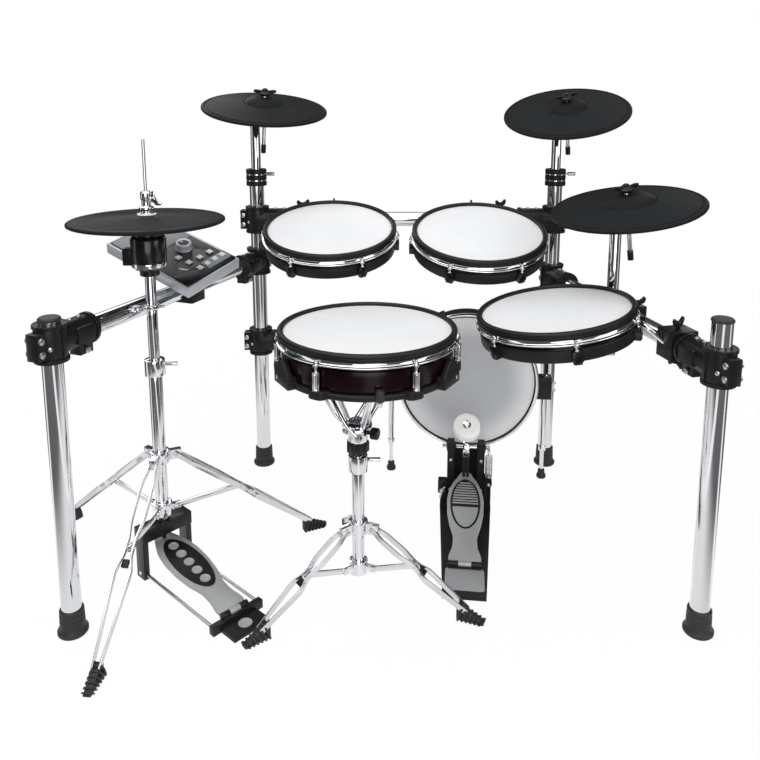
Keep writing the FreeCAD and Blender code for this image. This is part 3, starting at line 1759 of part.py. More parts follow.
def make_spurs():
    """The two side legs of the kick tower with their clamp blocks and rubber feet."""
    spurs = []
    shell_hole = cylinder(
        kit.kick_shell_radius + kit.fit_gap, kit.kick_depth * 2, z=kit.kick_z, turn=ALONG_Y
    )
    spur_x = kit.kick_shell_radius + kit.spur_spread
    for side in (-1, 1):
        x = spur_x * side
        leg = cylinder(
            kit.spur_radius,
            kit.spur_top - kit.spur_foot_height / 2,
            x=x,
            y=kit.spur_y,
            z=kit.spur_foot_height / 2,
        )
        foot = turned(
            [
                (0, 0),
                (kit.spur_foot_radius * 0.7, 0),
                (kit.spur_foot_radius, kit.spur_foot_radius * 0.5),
                (kit.spur_foot_radius, kit.spur_foot_height - kit.spur_foot_radius * 0.4),
                (kit.spur_radius + kit.fit_gap, kit.spur_foot_height),
                (kit.spur_radius + kit.fit_gap, kit.spur_foot_height / 2),
                (0, kit.spur_foot_height / 2),
            ],
            x=x,
            y=kit.spur_y,
        )
        reach = kit.spur_spread + kit.spur_block_width
        block = box(
            reach + kit.spur_block_width / 2,
            kit.spur_block_width,
            kit.spur_block_height,
            x=spur_x - reach,
            y=kit.spur_y - kit.spur_block_width / 2,
            z=kit.kick_z - kit.spur_block_height / 2 - kit.spur_block_width,
        )
        hand = block if side > 0 else placed(block, x=0, y=2 * kit.spur_y, turn=spin(180))
        leg_hole = cylinder(kit.spur_radius + kit.fit_gap, kit.kick_z * 2, x=x, y=kit.spur_y)
        spurs.extend([leg, foot, cut(hand, shell_hole, leg_hole)])
    node("kick_spurs", *spurs, **kick_place())


def make_kick_pedal():
    """Base plate, towers, axle with beater, footboard, chain and return spring."""
    thick = kit.base_plate_thick
    heel_y = -kit.pedal_heel
    base = plate(
        [
            (-kit.base_heel_width / 2, heel_y),
            (kit.base_heel_width / 2, heel_y),
            (kit.base_plate_width / 2, kit.axle_y - kit.tower_depth),
            (kit.base_plate_width / 2, kit.riser_depth),
            (-kit.base_plate_width / 2, kit.riser_depth),
            (-kit.base_plate_width / 2, kit.axle_y - kit.tower_depth),
        ],
        thick,
    )
    riser = box(
        kit.riser_width,
        kit.riser_depth,
        kit.kick_z,
        x=-kit.riser_width / 2,
        y=-kit.riser_depth / 2,
    )
    drum_clear = cylinder(
        kit.kick_hoop_radius + kit.fit_gap,
        kit.kick_depth * 2,
        y=-kit.riser_depth,
        z=kit.kick_z,
        turn=ALONG_Y,
    )
    tower = middle_box(
        kit.tower_width, kit.tower_depth, kit.axle_z + kit.tower_crown, y=kit.axle_y
    )
    towers = [placed(tower, x=kit.tower_spacing), placed(tower, x=-kit.tower_spacing)]
    axle_hole = cylinder(
        kit.axle_radius + kit.pin_gap,
        kit.axle_half * 4,
        x=-kit.axle_half * 2,
        y=kit.axle_y,
        z=kit.axle_z,
        turn=ALONG_X,
    )
    heel_front = -kit.board_hinge - kit.knuckle_radius - kit.slide_gap
    heel = box(
        kit.base_heel_width - 2 * kit.fit_gap,
        kit.heel_grip_length,
        kit.heel_grip_thick,
        x=-kit.base_heel_width / 2 + kit.fit_gap,
        y=heel_front - kit.heel_grip_length,
        z=thick,
    )
    board_side, heel_side = hinge_set(kit.board_neck)
    cross = spin(90)
    hinge = placed(heel_side, 0, -kit.board_hinge, kit.hinge_z, cross)
    inner = kit.board_neck * kit.knuckle_share + 2 * kit.slide_gap
    lug = box(
        kit.board_neck,
        kit.knuckle_radius * 2 + kit.slide_gap * 4,
        kit.hinge_z - thick,
        x=-kit.board_neck / 2,
        y=-kit.board_hinge - kit.knuckle_radius * 2,
        z=thick,
    )
    slot = box(
        inner,
        kit.knuckle_radius * 6,
        kit.hinge_z * 2,
        x=-inner / 2,
        y=-kit.board_hinge - kit.knuckle_radius - kit.slide_gap * 2,
        z=thick,
    )
    stay_x = kit.axle_half - kit.lever_thick / 2
    stay = box(
        kit.spring_rod_radius * 4,
        kit.spring_rod_radius * 4,
        spring_low(),
        x=stay_x - kit.spring_rod_radius * 2,
        y=spring_y() - kit.spring_rod_radius * 2,
    )
    frame = cut(fused(base, riser, stay, *towers), drum_clear, axle_hole)
    node("kick_pedal_base", frame, fused(heel, cut(lug, slot), hinge), **kick_place())
    make_beater()
    make_kick_board(board_side, cross)
    make_spring(stay_x)
    pivot("kick_beater", kick_point(0, kit.axle_y, kit.axle_z), spin(kit.kick_turn).multVec(X_AXIS))
    pivot(
        "kick_pedal",
        kick_point(0, -kit.board_hinge, kit.hinge_z),
        spin(kit.kick_turn).multVec(X_AXIS),
    )


def make_beater():
    """The axle with its cam, spring lever, beater rod and felt beater."""
    axle = cylinder(kit.axle_radius, kit.axle_half * 2, x=-kit.axle_half, turn=ALONG_X)
    cam = cylinder(kit.cam_radius, kit.cam_width, x=-kit.cam_width / 2, turn=ALONG_X)
    felt_top = kit.beater_reach + kit.beater_length / 2
    rod = cylinder(kit.beater_rod_radius, felt_top + kit.beater_bolt_height)
    bolt = cylinder(kit.beater_bolt_radius, kit.beater_bolt_height, z=felt_top)
    edge = kit.beater_length * kit.beater_edge_share
    felt = turned(
        [
            (kit.beater_rod_radius + kit.fit_gap, felt_top - kit.beater_length),
            (kit.beater_radius - edge, felt_top - kit.beater_length),
            (kit.beater_radius, felt_top - kit.beater_length + edge),
            (kit.beater_radius, felt_top - edge),
            (kit.beater_radius - edge, felt_top),
            (kit.beater_rod_radius + kit.fit_gap, felt_top),
        ]
    )
    lever = box(
        kit.lever_thick,
        kit.spring_lever + kit.lever_thick,
        kit.lever_thick * 2,
        x=kit.axle_half - kit.lever_thick,
        y=-kit.spring_lever - kit.lever_thick / 2,
        z=-kit.lever_thick,
    )
    lean = spin(kit.beater_lean, X_AXIS)
    stick = placed(fused(rod, bolt), turn=lean)
    at_axle = {"y": kit.axle_y, "z": kit.axle_z}
    hub = placed(fused(axle, cam, stick, lever), **at_axle)
    node("kick_beater", hub, placed(felt, turn=lean, **at_axle), **kick_place())


def make_kick_board(board_side, cross):
    """The footboard with the chain that hangs from the cam to its toe."""
    run = kit.board_hinge - kit.board_toe
    rise = kit.board_toe_z - kit.hinge_z
    slope = math.degrees(math.atan2(number(rise), number(run)))
    length = hypotenuse(run, rise)
    board = pedal_board(length, kit.board_width, kit.board_neck, kit.board_thick)
    hole = cylinder(
        kit.knuckle_radius + kit.slide_gap, kit.board_neck * 2, y=-kit.board_neck, turn=ALONG_Y
    )
    footboard = fused(cut(board, hole), board_side)
    tilted = placed(footboard, turn=spin(-slope, Y_AXIS))
    aimed = placed(tilted, 0, -kit.board_hinge, kit.hinge_z, cross)
    chain_y = kit.axle_y - kit.cam_radius - kit.slide_gap - kit.chain_thick
    chain_low = kit.board_toe_z - kit.board_thick
    chain = box(
        kit.chain_width,
        kit.chain_thick,
        kit.axle_z - kit.cam_radius / 2 - chain_low,
        x=-kit.chain_width / 2,
        y=chain_y,
        z=chain_low,
    )
    hook = box(
        kit.chain_width * 3,
        kit.chain_thick * 3,
        kit.board_thick,
        x=-kit.chain_width * 1.5,
        y=chain_y - kit.chain_thick * 2,
        z=kit.board_toe_z - kit.board_thick,
    )
    node("kick_footboard", fused(aimed, hook, chain), **kick_place())


def spring_y():
    return kit.axle_y - kit.spring_lever


def spring_high():
    return kit.axle_z - kit.lever_thick


def spring_ease():
    return kit.spring_wire_radius + kit.slide_gap


def spring_low():
    return spring_high() - kit.spring_pitch * kit.spring_turns - 2 * spring_ease()


def helix_point(turn_share, x, y, low):
    angle = turn_share * 2 * math.pi
    radius = number(kit.spring_coil_radius)
    return Vector(
        x + radius * math.cos(angle),
        y + radius * math.sin(angle),
        low + number(kit.spring_pitch) * turn_share,
    )


def helix_tangent(turn_share):
    angle = turn_share * 2 * math.pi
    radius = number(kit.spring_coil_radius)
    rise = number(kit.spring_pitch) / (2 * math.pi)
    return Vector(-radius * math.sin(angle), radius * math.cos(angle), rise).normalize()


def arc_from(start, tangent, end):
    """The arc that leaves start along the tangent and ends at end."""
    chord = end - start
    half = tangent.getAngle(chord) / 2
    side = (tangent - chord * (tangent.dot(chord) / chord.dot(chord))).normalize()
    crest = start + chord * 0.5 + side * (chord.Length / 2 * math.tan(half))
    return Part.Arc(start, crest, end).toShape()


def biarc(start, start_tangent, end, end_tangent):
    """Two arcs that meet smoothly between two points with given tangents."""
    span = end - start
    both = start_tangent + end_tangent
    spread = 2 * (1 - start_tangent.dot(end_tangent))
    lean = span.dot(both)
    reach = (-lean + math.sqrt(lean * lean + spread * span.dot(span))) / spread
    meet = (start + start_tangent * reach + end - end_tangent * reach) * 0.5
    onward = (end - end_tangent * reach - start - start_tangent * reach).normalize()
    return [arc_from(start, start_tangent, meet), arc_from(meet, onward, end)]


def make_spring(x_size):
    """The return spring as one wound wire between the lever and the post on the base."""
    x, y = number(x_size), number(spring_y())
    low = number(spring_low() + spring_ease())
    turns = int(number(kit.spring_turns))
    wire_radius = number(kit.spring_wire_radius)
    stations = [step / 4 for step in range(turns * 4 + 1)]
    points = [helix_point(share, x, y, low) for share in stations]
    tangents = [helix_tangent(share) for share in stations]
    tail = points[0] - tangents[0] * (2 * wire_radius)
    nose = points[-1] + tangents[-1] * (2 * wire_radius)
    edges = [Part.LineSegment(tail, points[0]).toShape()]
    for index in range(len(stations) - 1):
        ends = (points[index], tangents[index], points[index + 1], tangents[index + 1])
        edges.extend(biarc(*ends))
    edges.append(Part.LineSegment(points[-1], nose).toShape())
    ring = Part.Wire(Part.makeCircle(wire_radius, tail, tangents[0]))
    coil = doc.addObject("Part::Feature", "Coil")
    coil.Shape = Part.Wire(edges).makePipeShell([ring], True, False)
    samples = [helix_point(index / 24, x, y, low) for index in range(turns * 24 + 1)]
    gaps = [
        (far - near).Length - 2 * wire_radius
        for index, near in enumerate(samples)
        for far in samples[index + 12 :]
    ]
    print("spring least gap between curls, mm:", round(min(gaps), 3))
    node("kick_spring", coil, **kick_place())


# Sound module on the left side bar


def module_turn():
    lean = spin(kit.module_tilt, X_AXIS) * spin(-kit.module_roll, Y_AXIS)
    return spin(kit.module_heading) * lean


def module_place():
    place = {axis: kit.of("module", axis) for axis in "xyz"}
    return {**place, "turn": module_turn()}


def module_spot(shares):
    """A place on the panel from shares of its half width and half depth."""
    across, deep = shares
    return kit.module_width / 2 * across, kit.module_depth / 2 * deep


def make_module():
    """Case, panel, dial and buttons. The middle of the panel's top is the origin."""
    border = kit.module_border
    low = -kit.module_height
    outer = middle_box(kit.module_width, kit.module_depth, kit.module_height, z=low)
    room_width = kit.module_width - 2 * border
    room_depth = kit.module_depth - 2 * border
    room = middle_box(room_width, room_depth, kit.module_height, z=low + kit.module_wall)
    hinge_y = kit.module_depth / 2 * kit.mount_y_share
    hinge_z = low - kit.mount_drop
    half = kit.mount_knuckle_width / 2
    lying = {"y": hinge_y, "z": hinge_z, "turn": ALONG_X}
    knuckle = cylinder(kit.mount_knuckle_radius, kit.mount_knuckle_width, x=-half, **lying)
    web = box(
        kit.mount_knuckle_width,
        2 * kit.mount_knuckle_radius,
        kit.mount_drop + kit.module_wall / 2,
        x=-half,
        y=hinge_y - kit.mount_knuckle_radius,
        z=hinge_z,
    )
    pin_hole = cylinder(
        kit.mount_pin_radius + kit.pin_gap,
        kit.mount_knuckle_width + 2 * kit.overrun,
        x=-half - kit.overrun,
        **lying,
    )
    case = cut(fused(cut(outer, room), knuckle, web), pin_hole)
    node("module_case", case, **module_place())
    make_panel(room_width - 2 * kit.slide_gap, room_depth - 2 * kit.slide_gap)
    return module_mount(hinge_y, hinge_z, half, lying)


def make_panel(width, depth):
    """The panel with its raised strip, fixed buttons and circuit board, and what moves on it."""
    thick = kit.panel_thick
    face = middle_box(width, depth, thick, z=-thick)
    strip_y = -depth / 2 + kit.strip_depth / 2
    strip = middle_box(width, kit.strip_depth, kit.strip_height, y=strip_y)
    circuit_z = -thick - kit.circuit_drop
    circuit_width = width - 2 * kit.circuit_margin
    circuit_depth = depth - 2 * kit.circuit_margin
    circuit = middle_box(
        circuit_width, circuit_depth, kit.circuit_thick, z=circuit_z - kit.circuit_thick
    )
    standoff = cylinder(kit.standoff_radius, kit.circuit_drop, z=circuit_z)
    corner_x = circuit_width / 2 - kit.circuit_margin
    corner_y = circuit_depth / 2 - kit.circuit_margin
    standoffs = [
        placed(standoff, corner_x * across, corner_y * deep)
        for across in (-1, 1)
        for deep in (-1, 1)
    ]
    side = kit.button_size
    cap = middle_box(side, side, kit.button_height)
    wells = []
    fixed = []
    for shares in FIXED_BUTTON_SHARES:
        x, y = module_spot(shares)
        fixed.append(placed(cap, x, y, kit.strip_height))
    for shares in PANEL_BUTTON_SHARES:
        x, y = module_spot(shares)
        fixed.append(placed(cap, x, y))
    well_side = side + 2 * kit.slide_gap
    well = middle_box(well_side, well_side, kit.strip_height)
    for index, shares in enumerate(MOVING_BUTTON_SHARES, start=1):
        x, y = module_spot(shares)
        wells.append(placed(well, x, y, kit.strip_height - kit.button_travel * 2))
        button = placed(cap, x, y, kit.strip_height - kit.button_travel + kit.slide_gap)
        node(f"module_button_{index}", button, **module_place())
    dial_x, dial_y = module_spot((number(kit.dial_x_share), number(kit.dial_y_share)))
    shaft_hole = cylinder(
        kit.dial_shaft_radius + kit.pin_gap,
        thick + 2 * kit.overrun,
        x=dial_x,
        y=dial_y,
        z=-thick - kit.overrun,
    )
    panel = cut(fused(face, strip), shaft_hole, *wells)
    node("module_panel", panel, circuit, *standoffs, *fixed, **module_place())
    shaft = cylinder(
        kit.dial_shaft_radius, thick + kit.dial_height / 2, x=dial_x, y=dial_y, z=-thick
    )
    knob = cylinder(
        kit.dial_radius, kit.dial_height, x=dial_x, y=dial_y, z=kit.slide_gap
    )
    node("module_dial", fused(shaft, knob), **module_place())
    place = Placement(Vector(*(number(kit.of("module", axis)) for axis in "xyz")), module_turn())
    centre = place.multVec(Vector(number(dial_x), number(dial_y), 0))
    pivot("module_dial", centre, module_turn().multVec(Z_AXIS))


def module_mount(hinge_y, hinge_z, half, lying):
    """The fork on the left bar that carries the module's hinge."""
    ear = box(
        kit.mount_ear,
        2 * kit.mount_knuckle_radius,
        kit.bar_radius + kit.saddle_wall,
        x=half + kit.slide_gap,
        y=hinge_y - kit.mount_knuckle_radius,
        z=hinge_z - kit.bar_radius - kit.saddle_wall,
    )
    crown = cylinder(kit.mount_knuckle_radius, kit.mount_ear, x=half + kit.slide_gap, **lying)
    shift = -kit.mount_knuckle_width - kit.mount_ear - 2 * kit.slide_gap
    pin_half = half + kit.slide_gap + kit.mount_ear
    pin = cylinder(kit.mount_pin_radius, 2 * pin_half, x=-pin_half, **lying)
    fork = placed(fused(ear, crown, placed(ear, x=shift), placed(crown, x=shift), pin), **module_place())
    place = Placement(Vector(*(number(kit.of("module", axis)) for axis in "xyz")), module_turn())
    hinge = place.multVec(Vector(0, number(hinge_y), number(hinge_z)))
    pivot("module_tilt", hinge, module_turn().multVec(X_AXIS))
    seat = point_on_bar("left", as_size(hinge.y))
    side = 2 * (kit.bar_radius + kit.saddle_wall)
    block = box(
        kit.saddle_length, side, side, x=-kit.saddle_length / 2, y=-side / 2, z=-side / 2
    )
    hole = cylinder(
        kit.bar_radius + kit.fit_gap,
        kit.saddle_length * 2,
        x=-kit.saddle_length,
        turn=ALONG_X,
    )
    turn = spin(bar_heading("left"))
    return cut(fused(placed(block, *seat, turn), fork), placed(hole, *seat, turn))


def make_ride_saddle():
    """The ride arm's saddle on the right bar. Returns it with the arm's place."""
    carrier, offset = arm_saddle()
    x, y, z = point_on_bar("right", kit.ride_y)
    turn = spin(bar_heading("right"))
    side = turn.multVec(Y_AXIS)
    return placed(carrier, x, y, z, turn), x + offset * side.x, y + offset * side.y


make_posts()
make_bars()
tom_saddles = make_toms()
ride_saddle, ride_x, ride_y = make_ride_saddle()
module_fork = make_module()
make_clamps(tom_saddles, ride_saddle, module_fork)
make_cymbals(ride_x, ride_y)
base_low, base_radius = make_snare()
make_snare_stand(base_low, base_radius)
make_hihat()
make_kick()
make_kick_pedal()
doc.recompute()

for item in doc.Objects:
    if "Invalid" in item.State or "Error" in item.State:
        raise RuntimeError(f"{item.Name} {item.Label}: {item.State}")
os.makedirs("parts", exist_ok=True)
whole = FreeCAD.BoundBox()
for part in NODES:
    if part.Shape.isNull() or not part.Shape.isValid():
        raise RuntimeError(f"{part.Label} has no valid shape")
    whole.add(part.Shape.BoundBox)
    part.Shape.exportStep(f"parts/{part.Label}.step")
    print(part.Label, len(part.Shape.Solids), "solids", len(part.Shape.Faces), "faces")
print("sub-parts:", len(NODES))
print("low corner, mm:", whole.XMin, whole.YMin, whole.ZMin)
print("high corner, mm:", whole.XMax, whole.YMax, whole.ZMax)
for name, (point, axis) in PIVOTS.items():
    print("pivot", name, *(round(part, 4) for part in (*point, *axis)))
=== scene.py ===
# %% [markdown]
# # An electronic drum kit, dressed for a studio picture
#
# The measured solids are loaded first and never moved. Everything below either gives
# them a finish or lays a finer piece over them, in the same frame.
#
# Sizes are written in millimetres, as on a workshop drawing. Each finished piece is
# brought to metres once, when it is linked to the scene.

# %% Load the measured kit
import json
import math

import bmesh
import bpy
import numpy as np
from mathutils import Matrix, Vector


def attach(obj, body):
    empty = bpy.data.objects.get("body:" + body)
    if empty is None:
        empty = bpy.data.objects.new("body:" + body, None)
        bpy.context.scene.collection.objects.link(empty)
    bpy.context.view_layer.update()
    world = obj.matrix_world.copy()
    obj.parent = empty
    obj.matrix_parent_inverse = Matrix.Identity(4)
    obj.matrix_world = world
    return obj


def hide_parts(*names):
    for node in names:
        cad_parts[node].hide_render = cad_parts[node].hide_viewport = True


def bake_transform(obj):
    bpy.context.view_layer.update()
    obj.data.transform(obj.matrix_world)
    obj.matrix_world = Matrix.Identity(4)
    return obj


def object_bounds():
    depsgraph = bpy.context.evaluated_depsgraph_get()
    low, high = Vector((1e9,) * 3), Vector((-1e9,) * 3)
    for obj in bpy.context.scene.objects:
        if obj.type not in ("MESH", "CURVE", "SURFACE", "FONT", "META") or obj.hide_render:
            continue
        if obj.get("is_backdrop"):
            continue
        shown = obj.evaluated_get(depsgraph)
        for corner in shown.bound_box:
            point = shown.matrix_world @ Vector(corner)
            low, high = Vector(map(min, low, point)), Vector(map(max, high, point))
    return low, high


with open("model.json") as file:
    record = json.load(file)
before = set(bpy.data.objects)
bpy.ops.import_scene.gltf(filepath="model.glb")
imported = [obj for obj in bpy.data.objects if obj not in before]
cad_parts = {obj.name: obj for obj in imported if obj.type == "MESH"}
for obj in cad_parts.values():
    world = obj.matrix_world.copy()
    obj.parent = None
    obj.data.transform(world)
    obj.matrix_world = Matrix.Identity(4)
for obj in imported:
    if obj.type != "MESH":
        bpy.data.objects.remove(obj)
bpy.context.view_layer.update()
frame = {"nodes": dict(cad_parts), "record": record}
scene = bpy.context.scene
bodies_of_kit = frame["record"]["behaviour"]["bodies"]
BODY = {node: body for body, members in bodies_of_kit.items() for node in members}

# %% [markdown]
# ## Camera
#
# The picture was taken from the player's side, a little above the cymbals, with the
# lens shifted down so that the posts stay nearly upright. A camera that looks ten
# degrees down with a small downward shift gives the same outlines.

# %% Place the camera
PITCH = math.radians(10.0)
lens = bpy.data.cameras.new("studio_lens")
lens.sensor_width = 36.0
lens.lens = 36.05
lens.shift_y = -0.20
lens.clip_end = 60.0
camera = bpy.data.objects.new("studio_camera", lens)
camera.location = (0.052, -1.6638, 1.0343)
camera.rotation_euler = (math.pi / 2 - PITCH, 0.0, 0.0)
scene.collection.objects.link(camera)
scene.camera = camera
print("camera at", tuple(camera.location))

# %% [markdown]
# ## A way to write shader maths
#
# A finish is a small sum: a base value plus a little noise, a mask times a colour. One
# class wraps a socket so that such sums can be written as Python, and one method adds
# any other node with its settings and sockets. The surroundings use the same class.


# %% Sums of sockets
class Wire:
    """An output socket that can be added to, scaled and raised like a number."""

    def __init__(self, nodes, socket):
        self.nodes = nodes
        self.socket = socket

    def sum_with(self, operation, other, swapped=False):
        pair = (other, self) if swapped else (self, other)
        return self.nodes.add("ShaderNodeMath", {"operation": operation}, dict(enumerate(pair)))

    def __add__(self, other):
        return self.sum_with("ADD", other)

    def __sub__(self, other):
        return self.sum_with("SUBTRACT", other)

    def __rsub__(self, other):
        return self.sum_with("SUBTRACT", other, True)

    def __mul__(self, other):
        return self.sum_with("MULTIPLY", other)

    def sine(self):
        return self.sum_with("SINE", 0.0)

    def most(self, other):
        return self.sum_with("MAXIMUM", other)

    __radd__ = __add__
    __rmul__ = __mul__


print("sums of sockets ready")


# %% One way to add any node
class Nodes:
    """A node tree with one method that adds a node, its settings and its sockets."""

    def __init__(self, tree):
        self.tree = tree

    def add(self, kind, settings=None, sockets=None, output=0):
        node = self.tree.nodes.new(kind)
        for key, value in (settings or {}).items():
            setattr(node, key, value)
        for key, value in (sockets or {}).items():
            if isinstance(value, Wire):
                self.tree.links.new(value.socket, node.inputs[key])
            else:
                node.inputs[key].default_value = value
        return Wire(self, node.outputs[output])

    def place(self, output="Object"):
        return self.add("ShaderNodeTexCoord", output=output)

    def parts(self, vector):
        return [self.add("ShaderNodeSeparateXYZ", None, {0: vector}, k) for k in range(3)]

    def joined(self, x, y, z):
        return self.add("ShaderNodeCombineXYZ", None, {0: x, 1: y, 2: z})

    def ramp(self, value, low, high):
        """A soft step: 0 below the low value, 1 above the high one."""
        sockets = {"Value": value, "From Min": low, "From Max": high}
        return self.add("ShaderNodeMapRange", {"interpolation_type": "SMOOTHSTEP"}, sockets)

    def noise(self, scale, detail=3.0, where=None):
        sockets = {"Vector": where or self.place(), "Scale": scale, "Detail": detail}
        return self.add("ShaderNodeTexNoise", None, sockets)

    def rays(self):
        """Who looks at a surface: the camera, something glossy, or something clear."""
        kinds = ("Camera", "Glossy", "Transmission")
        return [self.add("ShaderNodeLightPath", output=f"Is {kind} Ray") for kind in kinds]


print("node helpers ready")


# %% A finish about one Principled shader
class Finish(Nodes):
    """A material whose fixed values are set by socket name on its own shader."""

    def __init__(self, name, color, **fixed):
        self.material = bpy.data.materials.new(name)
        self.material.use_nodes = True
        self.material.diffuse_color = (*color, 1.0)
        super().__init__(self.material.node_tree)
        self.shader = self.tree.nodes["Principled BSDF"]
        self.shader.inputs["Base Color"].default_value = (*color, 1.0)
        for socket, value in fixed.items():
            self.shader.inputs[socket.replace("_", " ")].default_value = value

    def feed(self, socket, wire):
        self.tree.links.new(wire.socket, self.shader.inputs[socket])

    def paint(self, mask, first, second):
        """A colour that runs from the first to the second as the mask goes from 0 to 1."""
        mix = self.tree.nodes.new("ShaderNodeMix")
        mix.data_type = "RGBA"
        ends = [socket for socket in mix.inputs if socket.type == "RGBA"]
        for socket, tone in zip(ends, (first, second)):
            socket.default_value = (*tone, 1.0)
        self.tree.links.new(mask.socket, mix.inputs["Factor"])
        result = next(socket for socket in mix.outputs if socket.type == "RGBA")
        self.feed("Base Color", Wire(self, result))

    def shine(self, mask, low, high):
        self.feed("Roughness", mask * (high - low) + low)

    def emboss(self, height, strength, depth):
        sockets = {"Height": height, "Strength": strength, "Distance": depth}
        self.feed("Normal", self.add("ShaderNodeBump", None, sockets))


def tint(color, share):
    """A colour made lighter or darker by a share of itself."""
    return tuple(min(1.0, part * share) for part in color)


def speckled(name, color, rough, spread=0.15, grain=900.0, depth=0.0002, strength=0.15, **fixed):
    """A finish whose colour clouds slowly and whose surface has a fine grain."""
    finish = Finish(name, color, **fixed)
    finish.paint(finish.noise(14.0), tint(color, 1 - spread), tint(color, 1 + spread))
    finish.shine(finish.noise(60.0), *rough)
    finish.emboss(finish.noise(grain, 2.0), strength, depth)
    return finish.material


print("shader helpers ready")

# %% [markdown]
# ## Finishes
#
# Chrome is all reflection, so it only needs handling marks in its roughness. Moulded
# nylon and rubber get a fine grain in the bump, and paints get a slow drift of tone, so
# that no surface is one flat colour.

# %% Metals
BRIGHT = {"Metallic": 1.0}
chrome = speckled("chrome_plate", (0.80, 0.81, 0.83), (0.03, 0.10), 0.05, 500.0, 0.00004, 0.04, **BRIGHT)
strip_steel = speckled("strip_steel", (0.72, 0.73, 0.75), (0.12, 0.24), 0.06, 700.0, 0.00005, 0.08, **BRIGHT)
zinc = speckled("zinc_screw", (0.60, 0.60, 0.61), (0.20, 0.36), 0.08, 800.0, 0.00006, 0.1, **BRIGHT)
board_silver = speckled(
    "board_silver", (0.40, 0.41, 0.42), (0.34, 0.50), 0.07, 1400.0, 0.00010, 0.18, Metallic=0.35
)
case_silver = speckled(
    "case_silver", (0.50, 0.52, 0.55), (0.28, 0.40), 0.05, 2200.0, 0.00004, 0.1, Metallic=0.45
)
print("metals:", len(bpy.data.materials))

# %% Mouldings, rubber and paint
DULL = {"Specular_IOR_Level": 0.28}
DEAD = {"Specular_IOR_Level": 0.05}
nylon = speckled("black_nylon", (0.008, 0.008, 0.009), (0.28, 0.44), 0.25, **DULL)
rubber = speckled("black_rubber", (0.027, 0.027, 0.028), (0.40, 0.56), 0.2, **DULL)
rim_rubber = speckled("rim_rubber", (0.006, 0.006, 0.007), (0.34, 0.48), 0.2, 700.0, 0.0001, 0.1, **DULL)
pad_rubber = speckled("pad_rubber", (0.012, 0.013, 0.014), (0.40, 0.55), 0.16, 420.0, 0.0002, 0.1, **DEAD)
# The hi-hat pad's raised rings are painted paler than pad_rubber: a painted sheen where the rings catch the
# light.
ring_rubber = speckled("ring_rubber", (0.030, 0.031, 0.033), (0.34, 0.48), 0.12, Specular_IOR_Level=0.1)
shell_black = speckled("shell_black", (0.006, 0.006, 0.007), (0.14, 0.24), 0.2, 300.0, 0.0001, 0.03)
band_black = speckled("band_black", (0.010, 0.010, 0.011), (0.36, 0.50), 0.15, 1100.0, 0.0001, 0.12, **DULL)
casting = speckled("black_casting", (0.009, 0.009, 0.010), (0.28, 0.42), 0.25, 500.0, 0.00015, 0.12, **DULL)
panel_black = speckled("panel_black", (0.006, 0.006, 0.007), (0.30, 0.42), 0.2, 1600.0, 0.00005, 0.1, **DULL)
key_grey = speckled("key_grey", (0.60, 0.61, 0.62), (0.45, 0.60), 0.05)
strip_grey = speckled("strip_grey", (0.20, 0.21, 0.22), (0.35, 0.50), 0.06)
mark_white = speckled("mark_white", (0.80, 0.80, 0.80), (0.40, 0.55), 0.03)
felt = speckled("white_felt", (0.92, 0.91, 0.88), (0.85, 0.98), 0.06, 650.0, 0.0009, 0.6)
foam = speckled("grey_foam", (0.10, 0.10, 0.10), (0.85, 0.95), 0.2)
print("finishes:", len(bpy.data.materials))

# %% [markdown]
# The snare's wrap is a clear gloss over a red so dark that it is nearly black, with fine
# upright brushing that only shows where light grazes it.

# %% Burgundy wrap
GLOSS = {"Coat_Weight": 0.06, "Coat_Roughness": 0.05, "Specular_IOR_Level": 0.2}
wrap = Finish("burgundy_wrap", (0.012, 0.0018, 0.0025), **GLOSS)
across, along, up = wrap.parts(wrap.place())
streaks = wrap.noise(1.0, 2.0, wrap.joined(across * 420.0, along * 420.0, up * 6.0))
wrap.paint(streaks, (0.003, 0.0005, 0.0006), (0.009, 0.0013, 0.0018))
wrap.shine(wrap.noise(40.0), 0.16, 0.26)
burgundy = wrap.material
print("wrap:", burgundy.name)

# %% [markdown]
# The heads are woven mesh. Threads cross about every millimetre, so the weave is two
# crossed sines: it drives a small bump and a faint change of tone. The kick's head is
# the same cloth with a grey coat that is paler towards its edge.

# %% Mesh heads
THREADS = 2 * math.pi / 0.0011
KICK_MIDDLE = (0.280, 0.295)


def woven(name, dark, light, upright=False):
    """Mesh cloth whose threads run in the floor's plane, or in the kick head's upright plane."""
    cloth = Finish(name, light)
    across, along, up = cloth.parts(cloth.place())
    weave = (across * THREADS).sine() * ((up if upright else along) * THREADS).sine()
    tone = cloth.noise(7.0)
    if upright:
        off = cloth.joined(across - KICK_MIDDLE[0], 0.0, up - KICK_MIDDLE[1])
        reach = cloth.add("ShaderNodeVectorMath", {"operation": "LENGTH"}, {0: off}, 1)
        tone = tone * 0.4 + cloth.ramp(reach, 0.10, 0.172) * 0.8
    cloth.paint(weave * 0.2 + tone, dark, light)
    cloth.shine(cloth.noise(30.0), 0.5, 0.65)
    cloth.emboss(weave, 0.25, 0.0002)
    return cloth.material


mesh_white = woven("white_mesh", (0.74, 0.75, 0.77), (0.88, 0.885, 0.89))
mesh_grey = woven("grey_mesh", (0.42, 0.43, 0.45), (0.80, 0.81, 0.82), upright=True)
print("mesh cloth ready")

# %% [markdown]
# ## Floor, light and backdrop
#
# Chrome needs something dark to mirror. The flags are only seen by mirrored light, so
# they are a mask on the floor's and the surroundings' brightness.

# %% The black flags, as a mask by compass direction
FLAGS = [(-125.0, 36.0), (-37.0, 36.0), (41.0, 25.0), (112.0, 34.0), (180.0, 24.0)]
SOFT_EDGE = 3.0


